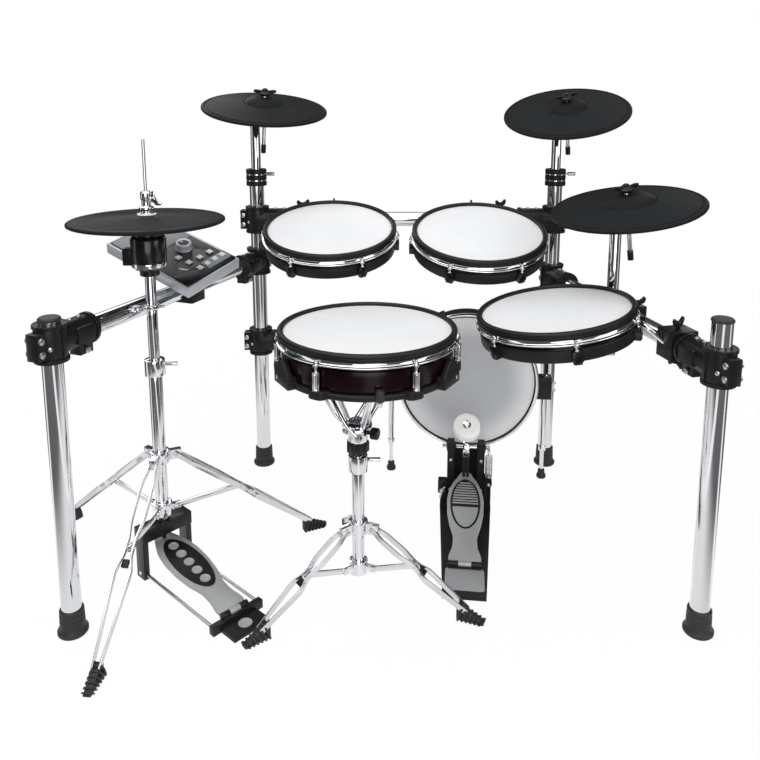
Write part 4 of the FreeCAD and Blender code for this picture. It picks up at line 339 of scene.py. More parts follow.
def flag_mask(nodes, x, y):
    """1 behind a flag and 0 in a gap. Angles are from the camera's side, + to the right."""
    flat = nodes.joined(x, y, 0.0)
    level = nodes.add("ShaderNodeVectorMath", {"operation": "NORMALIZE"}, {0: flat})
    mask = None
    for angle, half in FLAGS:
        toward = (math.sin(math.radians(angle)), -math.cos(math.radians(angle)), 0.0)
        pair = {0: level, 1: toward}
        facing = nodes.add("ShaderNodeVectorMath", {"operation": "DOT_PRODUCT"}, pair, 1)
        outer = math.cos(math.radians(half + SOFT_EDGE))
        inner = math.cos(math.radians(half - SOFT_EDGE))
        one = nodes.ramp(facing, outer, inner)
        mask = one if mask is None else mask.most(one)
    return mask


print("flags:", len(FLAGS))

# %% White floor
FLAGS_AT = 0.85
paper = Finish("floor_paper", (0.92, 0.92, 0.92), Roughness=0.9)
x, y, _ = paper.parts(paper.place())
distance = paper.add("ShaderNodeVectorMath", {"operation": "LENGTH"}, {0: paper.place()}, 1)
seen, gloss, clear = paper.rays()
paper.paint(paper.noise(1.5, 2.0), (0.90, 0.90, 0.90), (0.94, 0.94, 0.94))
behind = paper.ramp(distance, FLAGS_AT * 0.8, FLAGS_AT * 1.6) * 0.85 + 0.15
hidden = flag_mask(paper, x, y) * behind * gloss
white = paper.add("ShaderNodeEmission", None, {"Strength": 1.0 - hidden * 0.94})
far = paper.ramp(distance, 1.2, 3.2)
share = (seen + clear) * (far * 0.03 + 0.97) + gloss * 0.92
dull = Wire(paper, paper.shader.outputs[0])
mixed = paper.add("ShaderNodeMixShader", None, {0: share, 1: dull, 2: white})
paper.tree.links.new(mixed.socket, paper.tree.nodes["Material Output"].inputs["Surface"])
sheet = bmesh.new()
bmesh.ops.create_circle(sheet, cap_ends=True, radius=14.0, segments=96)
bmesh.ops.translate(sheet, vec=(0.0, 0.0, -0.0006), verts=sheet.verts)
floor_mesh = bpy.data.meshes.new("studio_floor")
sheet.to_mesh(floor_mesh)
sheet.free()
floor_mesh.materials.append(paper.material)
floor = bpy.data.objects.new("studio_floor", floor_mesh)
scene.collection.objects.link(floor)
floor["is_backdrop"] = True
print("floor ready")

# %% Surroundings
world = bpy.data.worlds.new("studio_surroundings")
scene.world = world
world.use_nodes = True
world.node_tree.nodes.clear()
sky = Nodes(world.node_tree)
x, y, z = sky.parts(sky.place("Generated"))
overhead = sky.ramp(z, 0.55, 0.80)
hidden = flag_mask(sky, x, y) * (1.0 - overhead)
seen, gloss, clear = sky.rays()
in_mirrors = 1.12 - hidden * 1.06
SOFT_LIGHT = 0.60
strength = seen + clear + gloss * in_mirrors + (1.0 - seen - clear - gloss) * SOFT_LIGHT
plain = {"Color": (1.0, 1.0, 1.0, 1.0), "Strength": strength}
backdrop = sky.add("ShaderNodeBackground", None, plain)
surface = sky.tree.nodes.new("ShaderNodeOutputWorld").inputs["Surface"]
sky.tree.links.new(backdrop.socket, surface)
print("surroundings ready")

# %% Lamps
LAMPS = [
    ("overhead_lamp", (-0.6, -0.9, 3.2), (0.0, 0.0, 0.4), 2.6, 40.0),
    ("side_lamp", (2.8, -1.6, 2.0), (0.0, 0.0, 0.5), 1.8, 20.0),
    ("back_lamp", (-1.6, 2.4, 2.4), (0.0, 0.0, 0.6), 1.8, 18.0),
    ("front_lamp", (0.2, -2.9, 1.3), (0.1, 0.0, 0.35), 2.0, 24.0),
]
for name, spot, target, side, power in LAMPS:
    light = bpy.data.lights.new(name, "AREA")
    light.shape = "SQUARE"
    light.size = side
    light.energy = power
    lamp = bpy.data.objects.new(name, light)
    lamp.location = spot
    aim = Vector(target) - Vector(spot)
    lamp.rotation_euler = aim.to_track_quat("-Z", "Y").to_euler()
    scene.collection.objects.link(lamp)
scene.view_settings.view_transform = "Standard"
print("stage set with", len(LAMPS), "lamps")

# %% [markdown]
# ## Forms
#
# Three makers cover that: a lathe, a plate cutter and a bar bender. Each gives a
# closed form in millimetres with small radii on its edges, because a real edge always
# catches light.

# %% Places and corners
SHARP = math.radians(32.0)


def at(x, y, z, **turns):
    """A place in millimetres, then turns in degrees about X, Y or Z, in the order given."""
    place = Matrix.Translation((x, y, z))
    for axis, angle in turns.items():
        place = place @ Matrix.Rotation(math.radians(angle), 4, axis)
    return place


def rounded(points, reach, closed=False):
    """The same outline with each corner swapped for a short curve that starts before it."""
    spots = [Vector(point) for point in points]
    ends = () if closed else (0, len(spots) - 1)
    result = []
    for index, corner in enumerate(spots):
        if index in ends:
            result.append(corner)
            continue
        runs = (spots[index - 1] - corner, spots[(index + 1) % len(spots)] - corner)
        start, stop = (corner + run * min(0.48, reach / run.length) for run in runs)
        for share in (0.0, 0.33, 0.67, 1.0):
            result.append(start.lerp(corner, share).lerp(corner.lerp(stop, share), share))
    return result


def circle(radius, sides, waves=0, depth=0.0):
    """A round outline. With waves, its edge goes in and out by the depth."""
    outline = []
    for side in range(sides):
        angle = 2 * math.pi * side / sides
        reach = radius + depth * math.cos(waves * angle)
        outline.append((reach * math.cos(angle), reach * math.sin(angle)))
    return outline


def oblong(left, near, right, far, corner=0.0):
    """A rectangle between two corners, with rounded corners if a reach is given."""
    corners = [(left, near), (right, near), (right, far), (left, far)]
    return rounded(corners, corner, True) if corner else corners


print("outline helpers ready")


# %% Moves and eased edges
def moved(form, place):
    bmesh.ops.transform(form, matrix=place, verts=form.verts)
    return form


def ease_edges(form, width):
    """Small radii on every sharp edge."""
    if width:
        closed = [edge for edge in form.edges if edge.is_manifold]
        sharp = [edge for edge in closed if edge.calc_face_angle(0.0) > SHARP]
        style = {"segments": 2, "profile": 0.5, "affect": "EDGES", "clamp_overlap": True}
        bmesh.ops.bevel(form, geom=sharp, offset=width, **style)
    return form


print("edges sharper than", round(math.degrees(SHARP)), "degrees are eased")


# %% Lathe
def spun(profile, steps=72):
    """A turned form about Z. A section that doesn't start and end on the axis is a ring."""
    form = bmesh.new()
    rings = []
    for radius, height in profile:
        if radius < 0.001:
            rings.append([form.verts.new((0.0, 0.0, height))])
        else:
            rings.append([form.verts.new((x, y, height)) for x, y in circle(radius, steps)])
    pairs = list(zip(rings, rings[1:]))
    if len(rings[0]) > 1 or len(rings[-1]) > 1:
        pairs.append((rings[-1], rings[0]))
    for low, high in pairs:
        for step in range(steps):
            turn = (step + 1) % steps
            corners = [(low, step), (low, turn), (high, turn), (high, step)]
            form.faces.new(dict.fromkeys(ring[index % len(ring)] for ring, index in corners))
    bmesh.ops.recalc_face_normals(form, faces=form.faces)
    return form


def peg(radius, low, high, edge=0.0, steps=24):
    """A turned pin or disc from one height to another, with eased rims."""
    section = [(0, low), (radius, low), (radius, high), (0, high)]
    return spun(rounded(section, edge) if edge else section, steps)


def sleeve(inner, outer, low, high, edge, steps=72):
    """A turned ring from one height to another, with eased rims."""
    return spun(oblong(inner, low, outer, high, edge), steps)


print("lathe ready")


# %% Plate cutter and bar bender
def slab(outline, low, high, edge=0.0):
    """A plate with the given outline, from one height to another."""
    form = bmesh.new()
    face = form.faces.new([form.verts.new((x, y, low)) for x, y in outline])
    raised = bmesh.ops.extrude_face_region(form, geom=[face])["geom"]
    top = [part for part in raised if isinstance(part, bmesh.types.BMVert)]
    bmesh.ops.translate(form, vec=(0.0, 0.0, high - low), verts=top)
    bmesh.ops.recalc_face_normals(form, faces=form.faces)
    return ease_edges(form, edge)


def block(length, width, height, edge=1.0):
    """A block that stands on its origin."""
    return slab(oblong(-length / 2, -width / 2, length / 2, width / 2), 0.0, height, edge)


def bar(points, radius, sides=14):
    """A round bar along a line of points, with eased ends."""
    spots = [Vector(point) for point in points]
    form = bmesh.new()
    side = (spots[1] - spots[0]).orthogonal().normalized()
    rings = []
    for index, spot in enumerate(spots):
        ahead, behind = spots[min(index + 1, len(spots) - 1)], spots[max(index - 1, 0)]
        tangent = (ahead - behind).normalized()
        side = (side - tangent * side.dot(tangent)).normalized()
        other = tangent.cross(side)
        rings.append([form.verts.new(spot + side * x + other * y) for x, y in circle(radius, sides)])
    for low, high in zip(rings, rings[1:]):
        for step in range(sides):
            turn = (step + 1) % sides
            form.faces.new([low[step], low[turn], high[turn], high[step]])
    form.faces.new(rings[0])
    form.faces.new(rings[-1])
    bmesh.ops.recalc_face_normals(form, faces=form.faces)
    return ease_edges(form, radius * 0.2)


print("makers ready")

# %% [markdown]
# ## What repeats
#
# Lugs, tension rods, chain links, ribs and keys repeat by a rule. A Geometry Nodes tree
# lays copies of one form: each next copy is moved, turned and scaled by a fixed step, so
# the same tree gives a ring (a turn and no move), a row or a tapering row. A second tree
# winds a wire, for the pedal's return spring. The results are turned into plain meshes.


# %% A tree that repeats a form
def new_tree(name, inputs):
    tree = bpy.data.node_groups.new(name, "GeometryNodeTree")
    for label, kind in inputs:
        tree.interface.new_socket(label, in_out="INPUT", socket_type=f"NodeSocket{kind}")
    tree.interface.new_socket("Result", in_out="OUTPUT", socket_type="NodeSocketGeometry")
    return Nodes(tree), tree.nodes.new("NodeGroupInput").outputs, tree.nodes.new("NodeGroupOutput")


def end_tree(nodes, geometry, finish, output):
    solid = nodes.add("GeometryNodeRealizeInstances", None, {0: geometry})
    painted = nodes.add("GeometryNodeSetMaterial", None, {"Geometry": solid, "Material": finish})
    nodes.tree.links.new(painted.socket, output.inputs[0])
    return nodes.tree


def repeat_tree():
    vectors = [(label, "Vector") for label in ("Move", "Turn", "Growth")]
    inputs = [("Form", "Geometry"), ("Count", "Int"), *vectors, ("Finish", "Material")]
    nodes, given, output = new_tree("repeat_form", inputs)
    index = nodes.add("GeometryNodeInputIndex")

    def stepped(label):
        sockets = {0: Wire(nodes, given[label]), "Scale": index}
        return nodes.add("ShaderNodeVectorMath", {"operation": "SCALE"}, sockets)

    sockets = {"Count": Wire(nodes, given["Count"]), "Position": stepped("Move")}
    spots = nodes.add("GeometryNodePoints", None, sockets)
    sockets = {0: stepped("Growth"), 1: (1.0, 1.0, 1.0)}
    size = nodes.add("ShaderNodeVectorMath", {"operation": "ADD"}, sockets)
    sockets = {"Points": spots, "Instance": Wire(nodes, given["Form"])}
    sockets |= {"Rotation": stepped("Turn"), "Scale": size}
    laid = nodes.add("GeometryNodeInstanceOnPoints", None, sockets)
    return end_tree(nodes, laid, Wire(nodes, given["Finish"]), output)


REPEAT = repeat_tree()
print("tree:", REPEAT.name)


# %% A tree that winds a wire
def wind_tree():
    inputs = [("Form", "Geometry"), ("Turns", "Float"), ("Radius", "Float"), ("Height", "Float")]
    nodes, given, output = new_tree("wind_wire", [*inputs, ("Wire", "Float"), ("Finish", "Material")])
    radius = Wire(nodes, given["Radius"])
    sockets = {"Resolution": 24, "Rotations": Wire(nodes, given["Turns"])}
    sockets |= {"Start Radius": radius, "End Radius": radius, "Height": Wire(nodes, given["Height"])}
    line = nodes.add("GeometryNodeCurveSpiral", None, sockets)
    sockets = {"Resolution": 8, "Radius": Wire(nodes, given["Wire"])}
    section = nodes.add("GeometryNodeCurvePrimitiveCircle", None, sockets)
    sockets = {"Curve": line, "Profile Curve": section, "Fill Caps": True}
    wound = nodes.add("GeometryNodeCurveToMesh", None, sockets)
    return end_tree(nodes, wound, Wire(nodes, given["Finish"]), output)


WIND = wind_tree()
print("tree:", WIND.name)


# %% Grow a tree into a plain form
def grow(tree, form, **values):
    """Runs a tree on a form and gives the result as a plain form."""
    start = bpy.data.meshes.new("start")
    if form:
        form.to_mesh(start)
        form.free()
    holder = bpy.data.objects.new("holder", start)
    scene.collection.objects.link(holder)
    modifier = holder.modifiers.new("grow", "NODES")
    modifier.node_group = tree
    for socket in tree.interface.items_tree:
        if socket.in_out == "INPUT" and socket.name in values:
            modifier[socket.identifier] = values[socket.name]
    evaluated = holder.evaluated_get(bpy.context.evaluated_depsgraph_get())
    grown = bpy.data.meshes.new_from_object(evaluated)
    holder.modifiers.remove(modifier)
    result = bmesh.new()
    result.from_mesh(grown)
    bpy.data.objects.remove(holder)
    for used in (start, grown):
        bpy.data.meshes.remove(used)
    return result


print("trees grow into plain forms")

# %% [markdown]
# ## Pieces
#
# A piece collects forms, each with its finish, and stands for one measured solid. It can
# start from a copy of that solid: loose triangles are joined into faces, sharp edges get
# a small radius, and every separate body in it takes its own finish from its box.


# %% Read the measured solids
def solids_of(node):
    """A node's mesh in millimetres with its triangles joined, and its separate bodies."""
    data = bmesh.new()
    data.from_mesh(frame["nodes"][node].data)
    bmesh.ops.scale(data, vec=(1000.0, 1000.0, 1000.0), verts=data.verts)
    bmesh.ops.remove_doubles(data, verts=data.verts, dist=0.02)
    bmesh.ops.dissolve_limit(data, angle_limit=math.radians(0.4), verts=data.verts, edges=data.edges)
    left = set(data.faces)
    groups = []
    for first in data.faces:
        if first not in left:
            continue
        left.remove(first)
        stack = [first]
        group = [first]
        while stack:
            for edge in stack.pop().edges:
                near = edge.link_faces if len(edge.link_faces) == 2 else ()
                fresh = [face for face in near if face in left]
                left.difference_update(fresh)
                stack.extend(fresh)
                group.extend(fresh)
        groups.append(group)
    return data, groups


def box_of(faces, place=Matrix()):
    """Lowest and highest corner of some faces, seen from a place."""
    back = place.inverted()
    spots = np.array([back @ corner.co for face in faces for corner in face.verts])
    return Vector(spots.min(0)), Vector(spots.max(0))


def span(low, high):
    return max(high - low)


def boxes_in(node, place=Matrix()):
    data, groups = solids_of(node)
    boxes = [box_of(group, place) for group in groups]
    data.free()
    return boxes


print("boxes of the posts:", len(boxes_in("rack_posts")))

# %% Collect forms into a piece
ZERO = (0.0, 0.0, 0.0)


class Piece:
    """Forms with finishes that together stand for one measured solid."""

    def __init__(self, node, name=None):
        self.node = node
        self.name = name or f"{node}_dressed"
        self.data = bmesh.new()
        self.finishes = []

    def number(self, finish):
        if finish not in self.finishes:
            self.finishes.append(finish)
        return self.finishes.index(finish)

    def take(self, form):
        scratch = bpy.data.meshes.new("scratch")
        form.to_mesh(scratch)
        form.free()
        self.data.from_mesh(scratch)
        bpy.data.meshes.remove(scratch)
        return self

    def add(self, form, finish, place=Matrix()):
        index = self.number(finish)
        for face in form.faces:
            face.material_index = index
        return self.take(moved(form, place))

    def repeat(self, form, finish, place, count, move=ZERO, turn=ZERO, growth=ZERO):
        """Copies of a form: each next one moved, turned in degrees and scaled by a step."""
        steps = {"Move": move, "Turn": [math.radians(angle) for angle in turn], "Growth": growth}
        return self.add(grow(REPEAT, form, Count=count, Finish=finish, **steps), finish, place)

    def ring(self, form, finish, place, count):
        """Copies of a form that stands off the place's axis, evenly round it."""
        return self.repeat(form, finish, place, count, turn=(0.0, 0.0, 360.0 / count))

    def solids(self, rule, width=0.8, place=Matrix()):
        """Eased copies of the node's bodies, each with the rule's finish, or left out for None."""
        data, groups = solids_of(self.node)
        gone = []
        for group in groups:
            finish = rule(*box_of(group, place)) if callable(rule) else rule
            if finish is None:
                gone.extend(group)
                continue
            for face in group:
                face.material_index = self.number(finish)
        if gone:
            bmesh.ops.delete(data, geom=gone, context="FACES")
        return self.take(ease_edges(data, width))

    def done(self, slot=None, rides=True):
        """Brings the piece to metres, links it and fixes it to its body, unless rides is False."""
        bmesh.ops.scale(self.data, vec=(0.001, 0.001, 0.001), verts=self.data.verts)
        self.data.normal_update()
        for face in self.data.faces:
            face.smooth = True
        for edge in self.data.edges:
            edge.smooth = len(edge.link_faces) == 2 and edge.calc_face_angle(0.0) < SHARP
        result = bpy.data.meshes.new(self.name)
        self.data.to_mesh(result)
        self.data.free()
        for finish in self.finishes:
            result.materials.append(finish)
        piece = bpy.data.objects.new(self.name, result)
        scene.collection.objects.link(piece)
        if rides:
            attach(piece, BODY[self.node])
        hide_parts(self.node)
        print(self.name, len(result.polygons), "faces")
        return piece


print("ready to dress", len(frame["nodes"]), "solids")

# %% [markdown]
# ## Rack
#
# Posts, bars and tom arms are plain chrome tube, so their solids stay and get a finish.
# The hi-hat's pull rod is finished with them.
# Where the posts stand and the bars run is read from the solids, because the clamps'
# details follow them.

# %% Tubes, and where they are
for node in ("rack_posts", "rack_bars", "tom_arms", "hihat_rod"):
    tube = frame["nodes"][node].data
    tube.materials.clear()
    tube.materials.append(chrome)


def centre_of(low, high):
    return (low + high) / 2


posts = {}
for low, high in boxes_in("rack_posts"):
    spot = centre_of(low, high)
    posts["rear" if spot.y > 0 else "front", "left" if spot.x < 0 else "right"] = spot
SPANS = [
    (posts["front", "left"], posts["rear", "left"]),
    (posts["front", "right"], posts["rear", "right"]),
    (posts["rear", "left"], posts["rear", "right"]),
]
clamp_places = []
for low, high in boxes_in("rack_bars"):
    spot = centre_of(low, high)
    near, other = min(SPANS, key=lambda ends: (centre_of(*ends) - spot).xy.length)
    heading = math.degrees(math.atan2(other.y - near.y, other.x - near.x))
    clamp_places.append(at(near.x, near.y, spot.z, Z=heading))
    clamp_places.append(at(other.x, other.y, spot.z, Z=heading + 180.0))
print("posts:", len(posts), "clamps:", len(clamp_places))

# %% [markdown]
# Feet and caps are rubber mouldings that push over the tubes. A foot flares to a sole and
# has two shallow rings, so it is turned from its own section in the solid's box.

# %% Feet and caps
POST_BORE = 19.2
feet = Piece("rack_feet_and_caps")
for low, high in boxes_in("rack_feet_and_caps"):
    wide = (high.x - low.x) / 2
    tall = high.z - low.z
    spot = centre_of(low, high)
    place = at(spot.x, spot.y, low.z)
    if low.z < 1.0:
        section = [(0, 0), (wide - 2, 0), (wide, 2.5), (wide, 8), (wide - 3, 11), (wide - 5, 16)]
        section += [(wide - 5.2, 30), (wide - 6.2, 31), (wide - 6.2, 33), (wide - 5.4, 34)]
        section += [(wide - 5.6, 40), (wide - 6.6, 41), (wide - 6.6, 43), (wide - 5.8, 44)]
        section += [(wide - 6, tall - 2), (wide - 8, tall), (POST_BORE, tall), (POST_BORE, 9), (0, 9)]
    else:
        section = [(0, 0), (wide - 1, 0), (wide, 1), (wide, tall - 2.5), (wide - 2.5, tall)]
        section += [(0, tall + 0.4)]
    feet.add(spun(section), rubber, place)
feet.done()

# %% [markdown]
# ## Clamps
#
# A post clamp is two nylon mouldings drawn together by screws. The copy of the solid gives
# the sleeve and the grip. Flanges at its mouths, a parting rib, covers on the grip and
# screw heads are laid over it. Hand clamps get a knob with two wings.


# %% Knobs and screws
SCREW = [(0, 3.2), (2.2, 3.2), (3.9, 2.4), (4.8, 0.8), (4.8, 0), (0, 0)]
WING = rounded([(5, 0), (15, 2), (20, 12), (16, 18), (9, 12), (5, 11)], 2.5, True)


def screw(piece, place):
    piece.add(spun(SCREW, 24), zinc, place)


def wings(piece, outline, half, edge, finish, place):
    """Two upright wings across from each other, cut from plate."""
    for turn in (0.0, 180.0):
        piece.add(slab(outline, -half, half, edge), finish, place @ at(0, 0, 0, Z=turn, X=90))


def wing_knob(piece, place, stem=8.0, finish=nylon, size=1.0):
    """A knob with two wings on a stem that points along the place's +Z."""
    place = place @ Matrix.Scale(size, 4)
    hub = [(0, 0), (4, 0), (4, stem), (7.5, stem), (7.5, stem + 9), (0, stem + 11)]
    piece.add(spun(rounded(hub, 1.2), 28), finish, place)
    wings(piece, WING, 2.6, 1.0, finish, place @ at(0, 0, stem))


print("screw head across", 2 * max(reach for reach, height in SCREW), "mm")

# %% Post clamps
GRIP = 29.0
COLLARS_FROM = 780.0
COVER = oblong(36, -17, 82, 17, 6.0)
clamps = Piece("rack_clamps")
collar_boxes = []
saddle_boxes = []


def mouth(radius, width, lip):
    """A raised ring round the mouth of a sleeve."""
    return sleeve(radius - 2, radius + lip, 0, width, 1.0)


def clamp_finish(low, high):
    """The turned collars on the rear posts are made apart, the rest keeps its shape."""
    if low.z > COLLARS_FROM:
        collar_boxes.append((low, high))
        return None
    if abs(high.z - low.z - 2 * GRIP) < 1.0:
        saddle_boxes.append((low, high))
    return nylon


clamps.solids(clamp_finish, 1.8)
for place in clamp_places:
    for height in (-35.5, 28.5):
        clamps.add(mouth(GRIP, 7.0, 2.2), nylon, place @ at(0, 0, height))
    clamps.add(mouth(GRIP, 8.0, 2.4), nylon, place @ at(88.5, 0, 0, Y=90))
    clamps.add(block(4, 2 * GRIP + 5, 56, 1.2), nylon, place @ at(0, 0, -28))
    for turn in (-90.0, 90.0):
        clamps.add(slab(COVER, 24.0, GRIP + 1.6, 1.2), nylon, place @ at(0, 0, 0, X=turn))
    for run in (48.0, 71.0):
        screw(clamps, place @ at(run, 0, GRIP - 0.4))
    for turn in (138.0, 222.0):
        screw(clamps, place @ at(0, 0, -6, Z=turn) @ at(GRIP - 0.6, 0, 0, Y=90))
print("collars:", len(collar_boxes), "saddles:", len(saddle_boxes))

# %% [markdown]
# The collar on each rear post is a stack of black ribs with two bright bands between
# them. The saddles that carry the tom arms and the ride's arm are drawn tight by hand.

# %% Arm collars and hand clamps
RIBS = [(13, 0), (26, 0), (27, 1.5), (27, 11), (25, 12), (25, 16), (27, 17), (27, 27)]
RIBS += [(25, 28), (25, 32), (27, 33), (27, 42.5), (25.5, 44), (13, 44)]
BAND = [(24.5, 0), (26.3, 0.3), (26.3, 3.1), (24.5, 3.4)]
for low, high in collar_boxes:
    spot = centre_of(low, high)
    place = at(spot.x, spot.y, low.z)
    clamps.add(spun(RIBS), nylon, place)
    for height in (12.3, 28.3):
        clamps.add(spun(BAND), chrome, place @ at(0, 0, height))
for low, high in saddle_boxes:
    spot = centre_of(low, high)
    out = (high.y - low.y) / 2 - 1
    wing_knob(clamps, at(spot.x, spot.y, high.z, Z=40), 6.0)
    for turn in (-90.0, 90.0):
        screw(clamps, at(*spot, Z=turn) @ at(out, 0, 16, Y=90))
    if spot.y < 0:
        wing_knob(clamps, at(spot.x, spot.y, low.z, X=180, Z=70), 4.0)
ride_tube = max(boxes_in("ride_arm"), key=lambda box: box[1].z - box[0].z)
ride_spot = centre_of(*ride_tube)
for height, turn in ((568.0, 20.0), (532.0, 75.0)):
    wing_knob(clamps, at(ride_spot.x + 20, ride_spot.y, height, Y=90, Z=turn), 8.0)
clamps.done()

# %% Bolts, and the screws of the arm collars
HANDLE = [(0, 0), (3, 0), (3, 6), (5, 7), (5, 24), (4, 26), (0, 26)]
bolts = Piece("rack_bolts")


def bolt_finish(low, high):
    """The collars' screws get a long handle, the other bolt heads keep their shape."""
    if low.z > COLLARS_FROM:
        spot = centre_of(low, high)
        bolts.add(spun(HANDLE, 28), zinc, at(low.x - 1, spot.y, spot.z, Z=-15, Y=90))
        return None
    return zinc


bolts.solids(bolt_finish, 1.2)
bolts.done()

# %% [markdown]
# ## Cymbals
#
# Each pad is a smooth rubber disc moulded over a plate, with a bell that ends in a crisp
# step and with a rolled edge, so one turned section gives all of it. The crashes have a
# smaller bell than the ride. A pad rocks on a tilted rod between two rubber cups, under a
# winged nut, and its place is read from the joint that it rocks on.

# %% Sections of the pads
CYMBALS = {
    "crash_left": {"tilt": 13.0, "lean": -5.0, "bell": 52.0},
    "crash_right": {"tilt": 20.0, "lean": 9.0, "bell": 52.0},
    "ride": {"tilt": 7.0, "lean": 9.0, "bell": 60.5},
}
BELL_TOP = 26.0
PAD_SLOPE = 0.126
PAD_GROOVE = [(150, -22.1), (152, -24), (154.5, -24.3), (156, -22.7)]
PAD_EDGE = rounded([(160, -23.2), (163, -25.6), (163, -29.6), (159, -32), (155, -27)], 1.2)
PAD_UNDER = [(66, -18.3), (58, -20.5), (48, -14), (26, -4), (5.5, -4)]


def pad_section(bell):
    """Half a pad, cut upright: its bell ends in a step at the given reach from the rod."""
    wide = bell - BELL_TOP
    low = -12.0 + (60.5 - bell) * PAD_SLOPE
    fall = [(BELL_TOP + 0.4 * wide, 1.2), (BELL_TOP + 0.72 * wide, -4), (bell - 1.5, low + 2), (bell, low)]
    dome = rounded([(5.5, 4), (BELL_TOP, 4), *fall], 4.0)
    step = [(bell + 2, low), (bell + 3.5, low + 0.8)]
    return [*dome, *step, *PAD_GROOVE, *PAD_EDGE, *PAD_UNDER]


print("pads across", 2 * max(reach for reach, height in PAD_EDGE), "mm")

# %% Pads on arms
NUT_CUP = rounded([(5, 7.4), (9, 7.4), (17, 12), (17.5, 15.5), (12, 19.2), (11, 22), (5, 22)], 0.9, True)
NUT_CAP = rounded([(0, 26.8), (5.4, 26.4), (6.8, 24.4), (6.8, 21), (5, 21), (5, 25.3), (0, 25.3)], 0.8)
NUT_WING = rounded([(8, 13.5), (19, 14.5), (29, 17), (29, 23), (20, 23.5), (9, 21.5)], 1.6, True)
hinges = {joint["name"]: joint for joint in frame["record"]["behaviour"]["joints"]}


def arm_finish(low, high):
    """The nut is made apart. Tube and rod are the long bodies, and the rest is moulded."""
    if low.z > 5.0:
        return None
    return chrome if high.z - low.z > 100.0 or span(low, high) > 40.0 else nylon


for name, pad in CYMBALS.items():
    middle = Vector(hinges[f"{name}_rock"]["pos_m"]) * 1000.0
    place = at(*middle, Y=-pad["lean"], X=pad["tilt"])
    arm = Piece(f"{name}_arm").solids(arm_finish, 1.2, place)
    arm.add(spun(NUT_CUP, 40), nylon, place)
    arm.add(spun(NUT_CAP, 32), nylon, place)
    wings(arm, NUT_WING, 2.4, 0.9, nylon, place @ at(0, 0, 0, Z=12))
    arm.done()
    disc = Piece(f"{name}_pad").add(spun(pad_section(pad["bell"]), 112), pad_rubber, place)
    jack_box = place @ at(-66, -18, -40)
    disc.add(block(20, 15, 22, 1.6), nylon, jack_box)
    disc.add(peg(5.5, -1.5, 0.5), zinc, jack_box)
    disc.done()

# %% [markdown]
# ## Drums
#
# From the top a pad is a black rubber rim, a mesh head stretched inside it, a chrome hoop
# that curls out to a flange, and six rods that pull the flange down to lugs. The rim and
# hoop are turned. Rods, nuts and lugs are one form each, set round the drum by the tree.

# %% Sizes that the toms and the snare share
DRUMS = {
    "high_tom": (161.0, at(-69, 144, 718, X=15)),
    "mid_tom": (161.0, at(290, 129, 711, X=16.5)),
    "floor_tom": (161.0, at(410, -161, 603, Y=-8, X=1, Z=-90)),
    "snare": (178.0, at(27, -216, 580)),
}
LUGS = 6
SKIN_TOP = -3.3
SKIN_THICK = 0.5


def rim_section(r):
    """A double-ridged rubber rim that sits over the hoop's edge."""
    ridge = [(r - 12, -3.6), (r - 12, 1), (r - 9, 4), (r - 3, 3.4), (r, 0), (r, -3.6)]
    skirt = [(r - 1.6, -4.8), (r - 0.6, -6), (r - 0.6, -10.6), (r - 2.2, -12)]
    inside = [(r - 3.6, -12), (r - 3.6, -3.7)]
    return rounded([*ridge, *skirt, *inside], 1.0, True)


def hoop_section(r):
    """A chrome hoop that curls outwards to a flange."""
    outside = [(r - 4.2, -4.5), (r - 4.2, -14.5), (r - 1.6, -18.5), (r + 2.4, -19.6), (r + 2.8, -21.4)]
    inside = [(r + 1, -22.6), (r - 3.6, -22), (r - 6.6, -17.5), (r - 7.6, -12), (r - 7.6, -4.5)]
    return rounded([*outside, *inside], 1.2, True)


print("drums:", len(DRUMS), "with", LUGS, "lugs each")


# %% Heads, rims and hoops
ROD_LOW = -36.0


def stretch(cloth, reach):
    """Prints how far across a round head is."""
    across = 2 * reach / 1000.0
    math.pi * across * across / 4
    print(cloth.name, "across", round(across, 3), "m")


def dress_head(name, r, place):
    """The rim stands for the measured head, with the stretched mesh skin inside it."""
    node = f"{name}_head"
    rim = Piece(node, f"{name}_rim").add(spun(rim_section(r), 120), rim_rubber, place)
    rim.done(slot="black_rubber")
    reach = r - 10.5
    skin = Piece(node, f"{name}_skin")
    skin.add(peg(reach, SKIN_TOP, SKIN_TOP - SKIN_THICK, steps=120), mesh_white, place)
    stretch(skin.done(slot="mesh"), reach)


def round_drum(piece, form, r, place):
    """A chrome form, made on the drum's axis, goes out to each of the rods."""
    piece.ring(moved(form, at(r + 1, 0, 0)), chrome, place, LUGS)


def dress_hoop(name, r, place):
    """The hoop with its rods. Each rod has an ear under it and a nut over it."""
    hoop = Piece(f"{name}_hoop").add(spun(hoop_section(r), 120), chrome, place)
    ear = peg(6.2, -24, -20, 0.8, 28)
    nut = slab(circle(4.3, 6), -20.2, -15.0, 0.7)
    stud = spun(rounded([(0, -16), (3.1, -16), (3.1, -11.5), (0, -11)], 0.8), 20)
    rod = peg(2.9, ROD_LOW, -20, steps=20)
    for form in (ear, nut, stud, rod):
        round_drum(hoop, form, r, place)
    return hoop


def shell_rule(r, outer):
    """A shell's own finish, and foam for the narrower sensor parts inside it."""
    return lambda low, high: foam if span(low, high) < 2 * r - 24 else outer


print("rods reach down to", ROD_LOW, "mm")


# %% [markdown]
# A tom's lower half is a matt black band a little wider than the shell, with six lugs
# that take the rods. A bracket behind it is clamped to its arm by a winged screw.

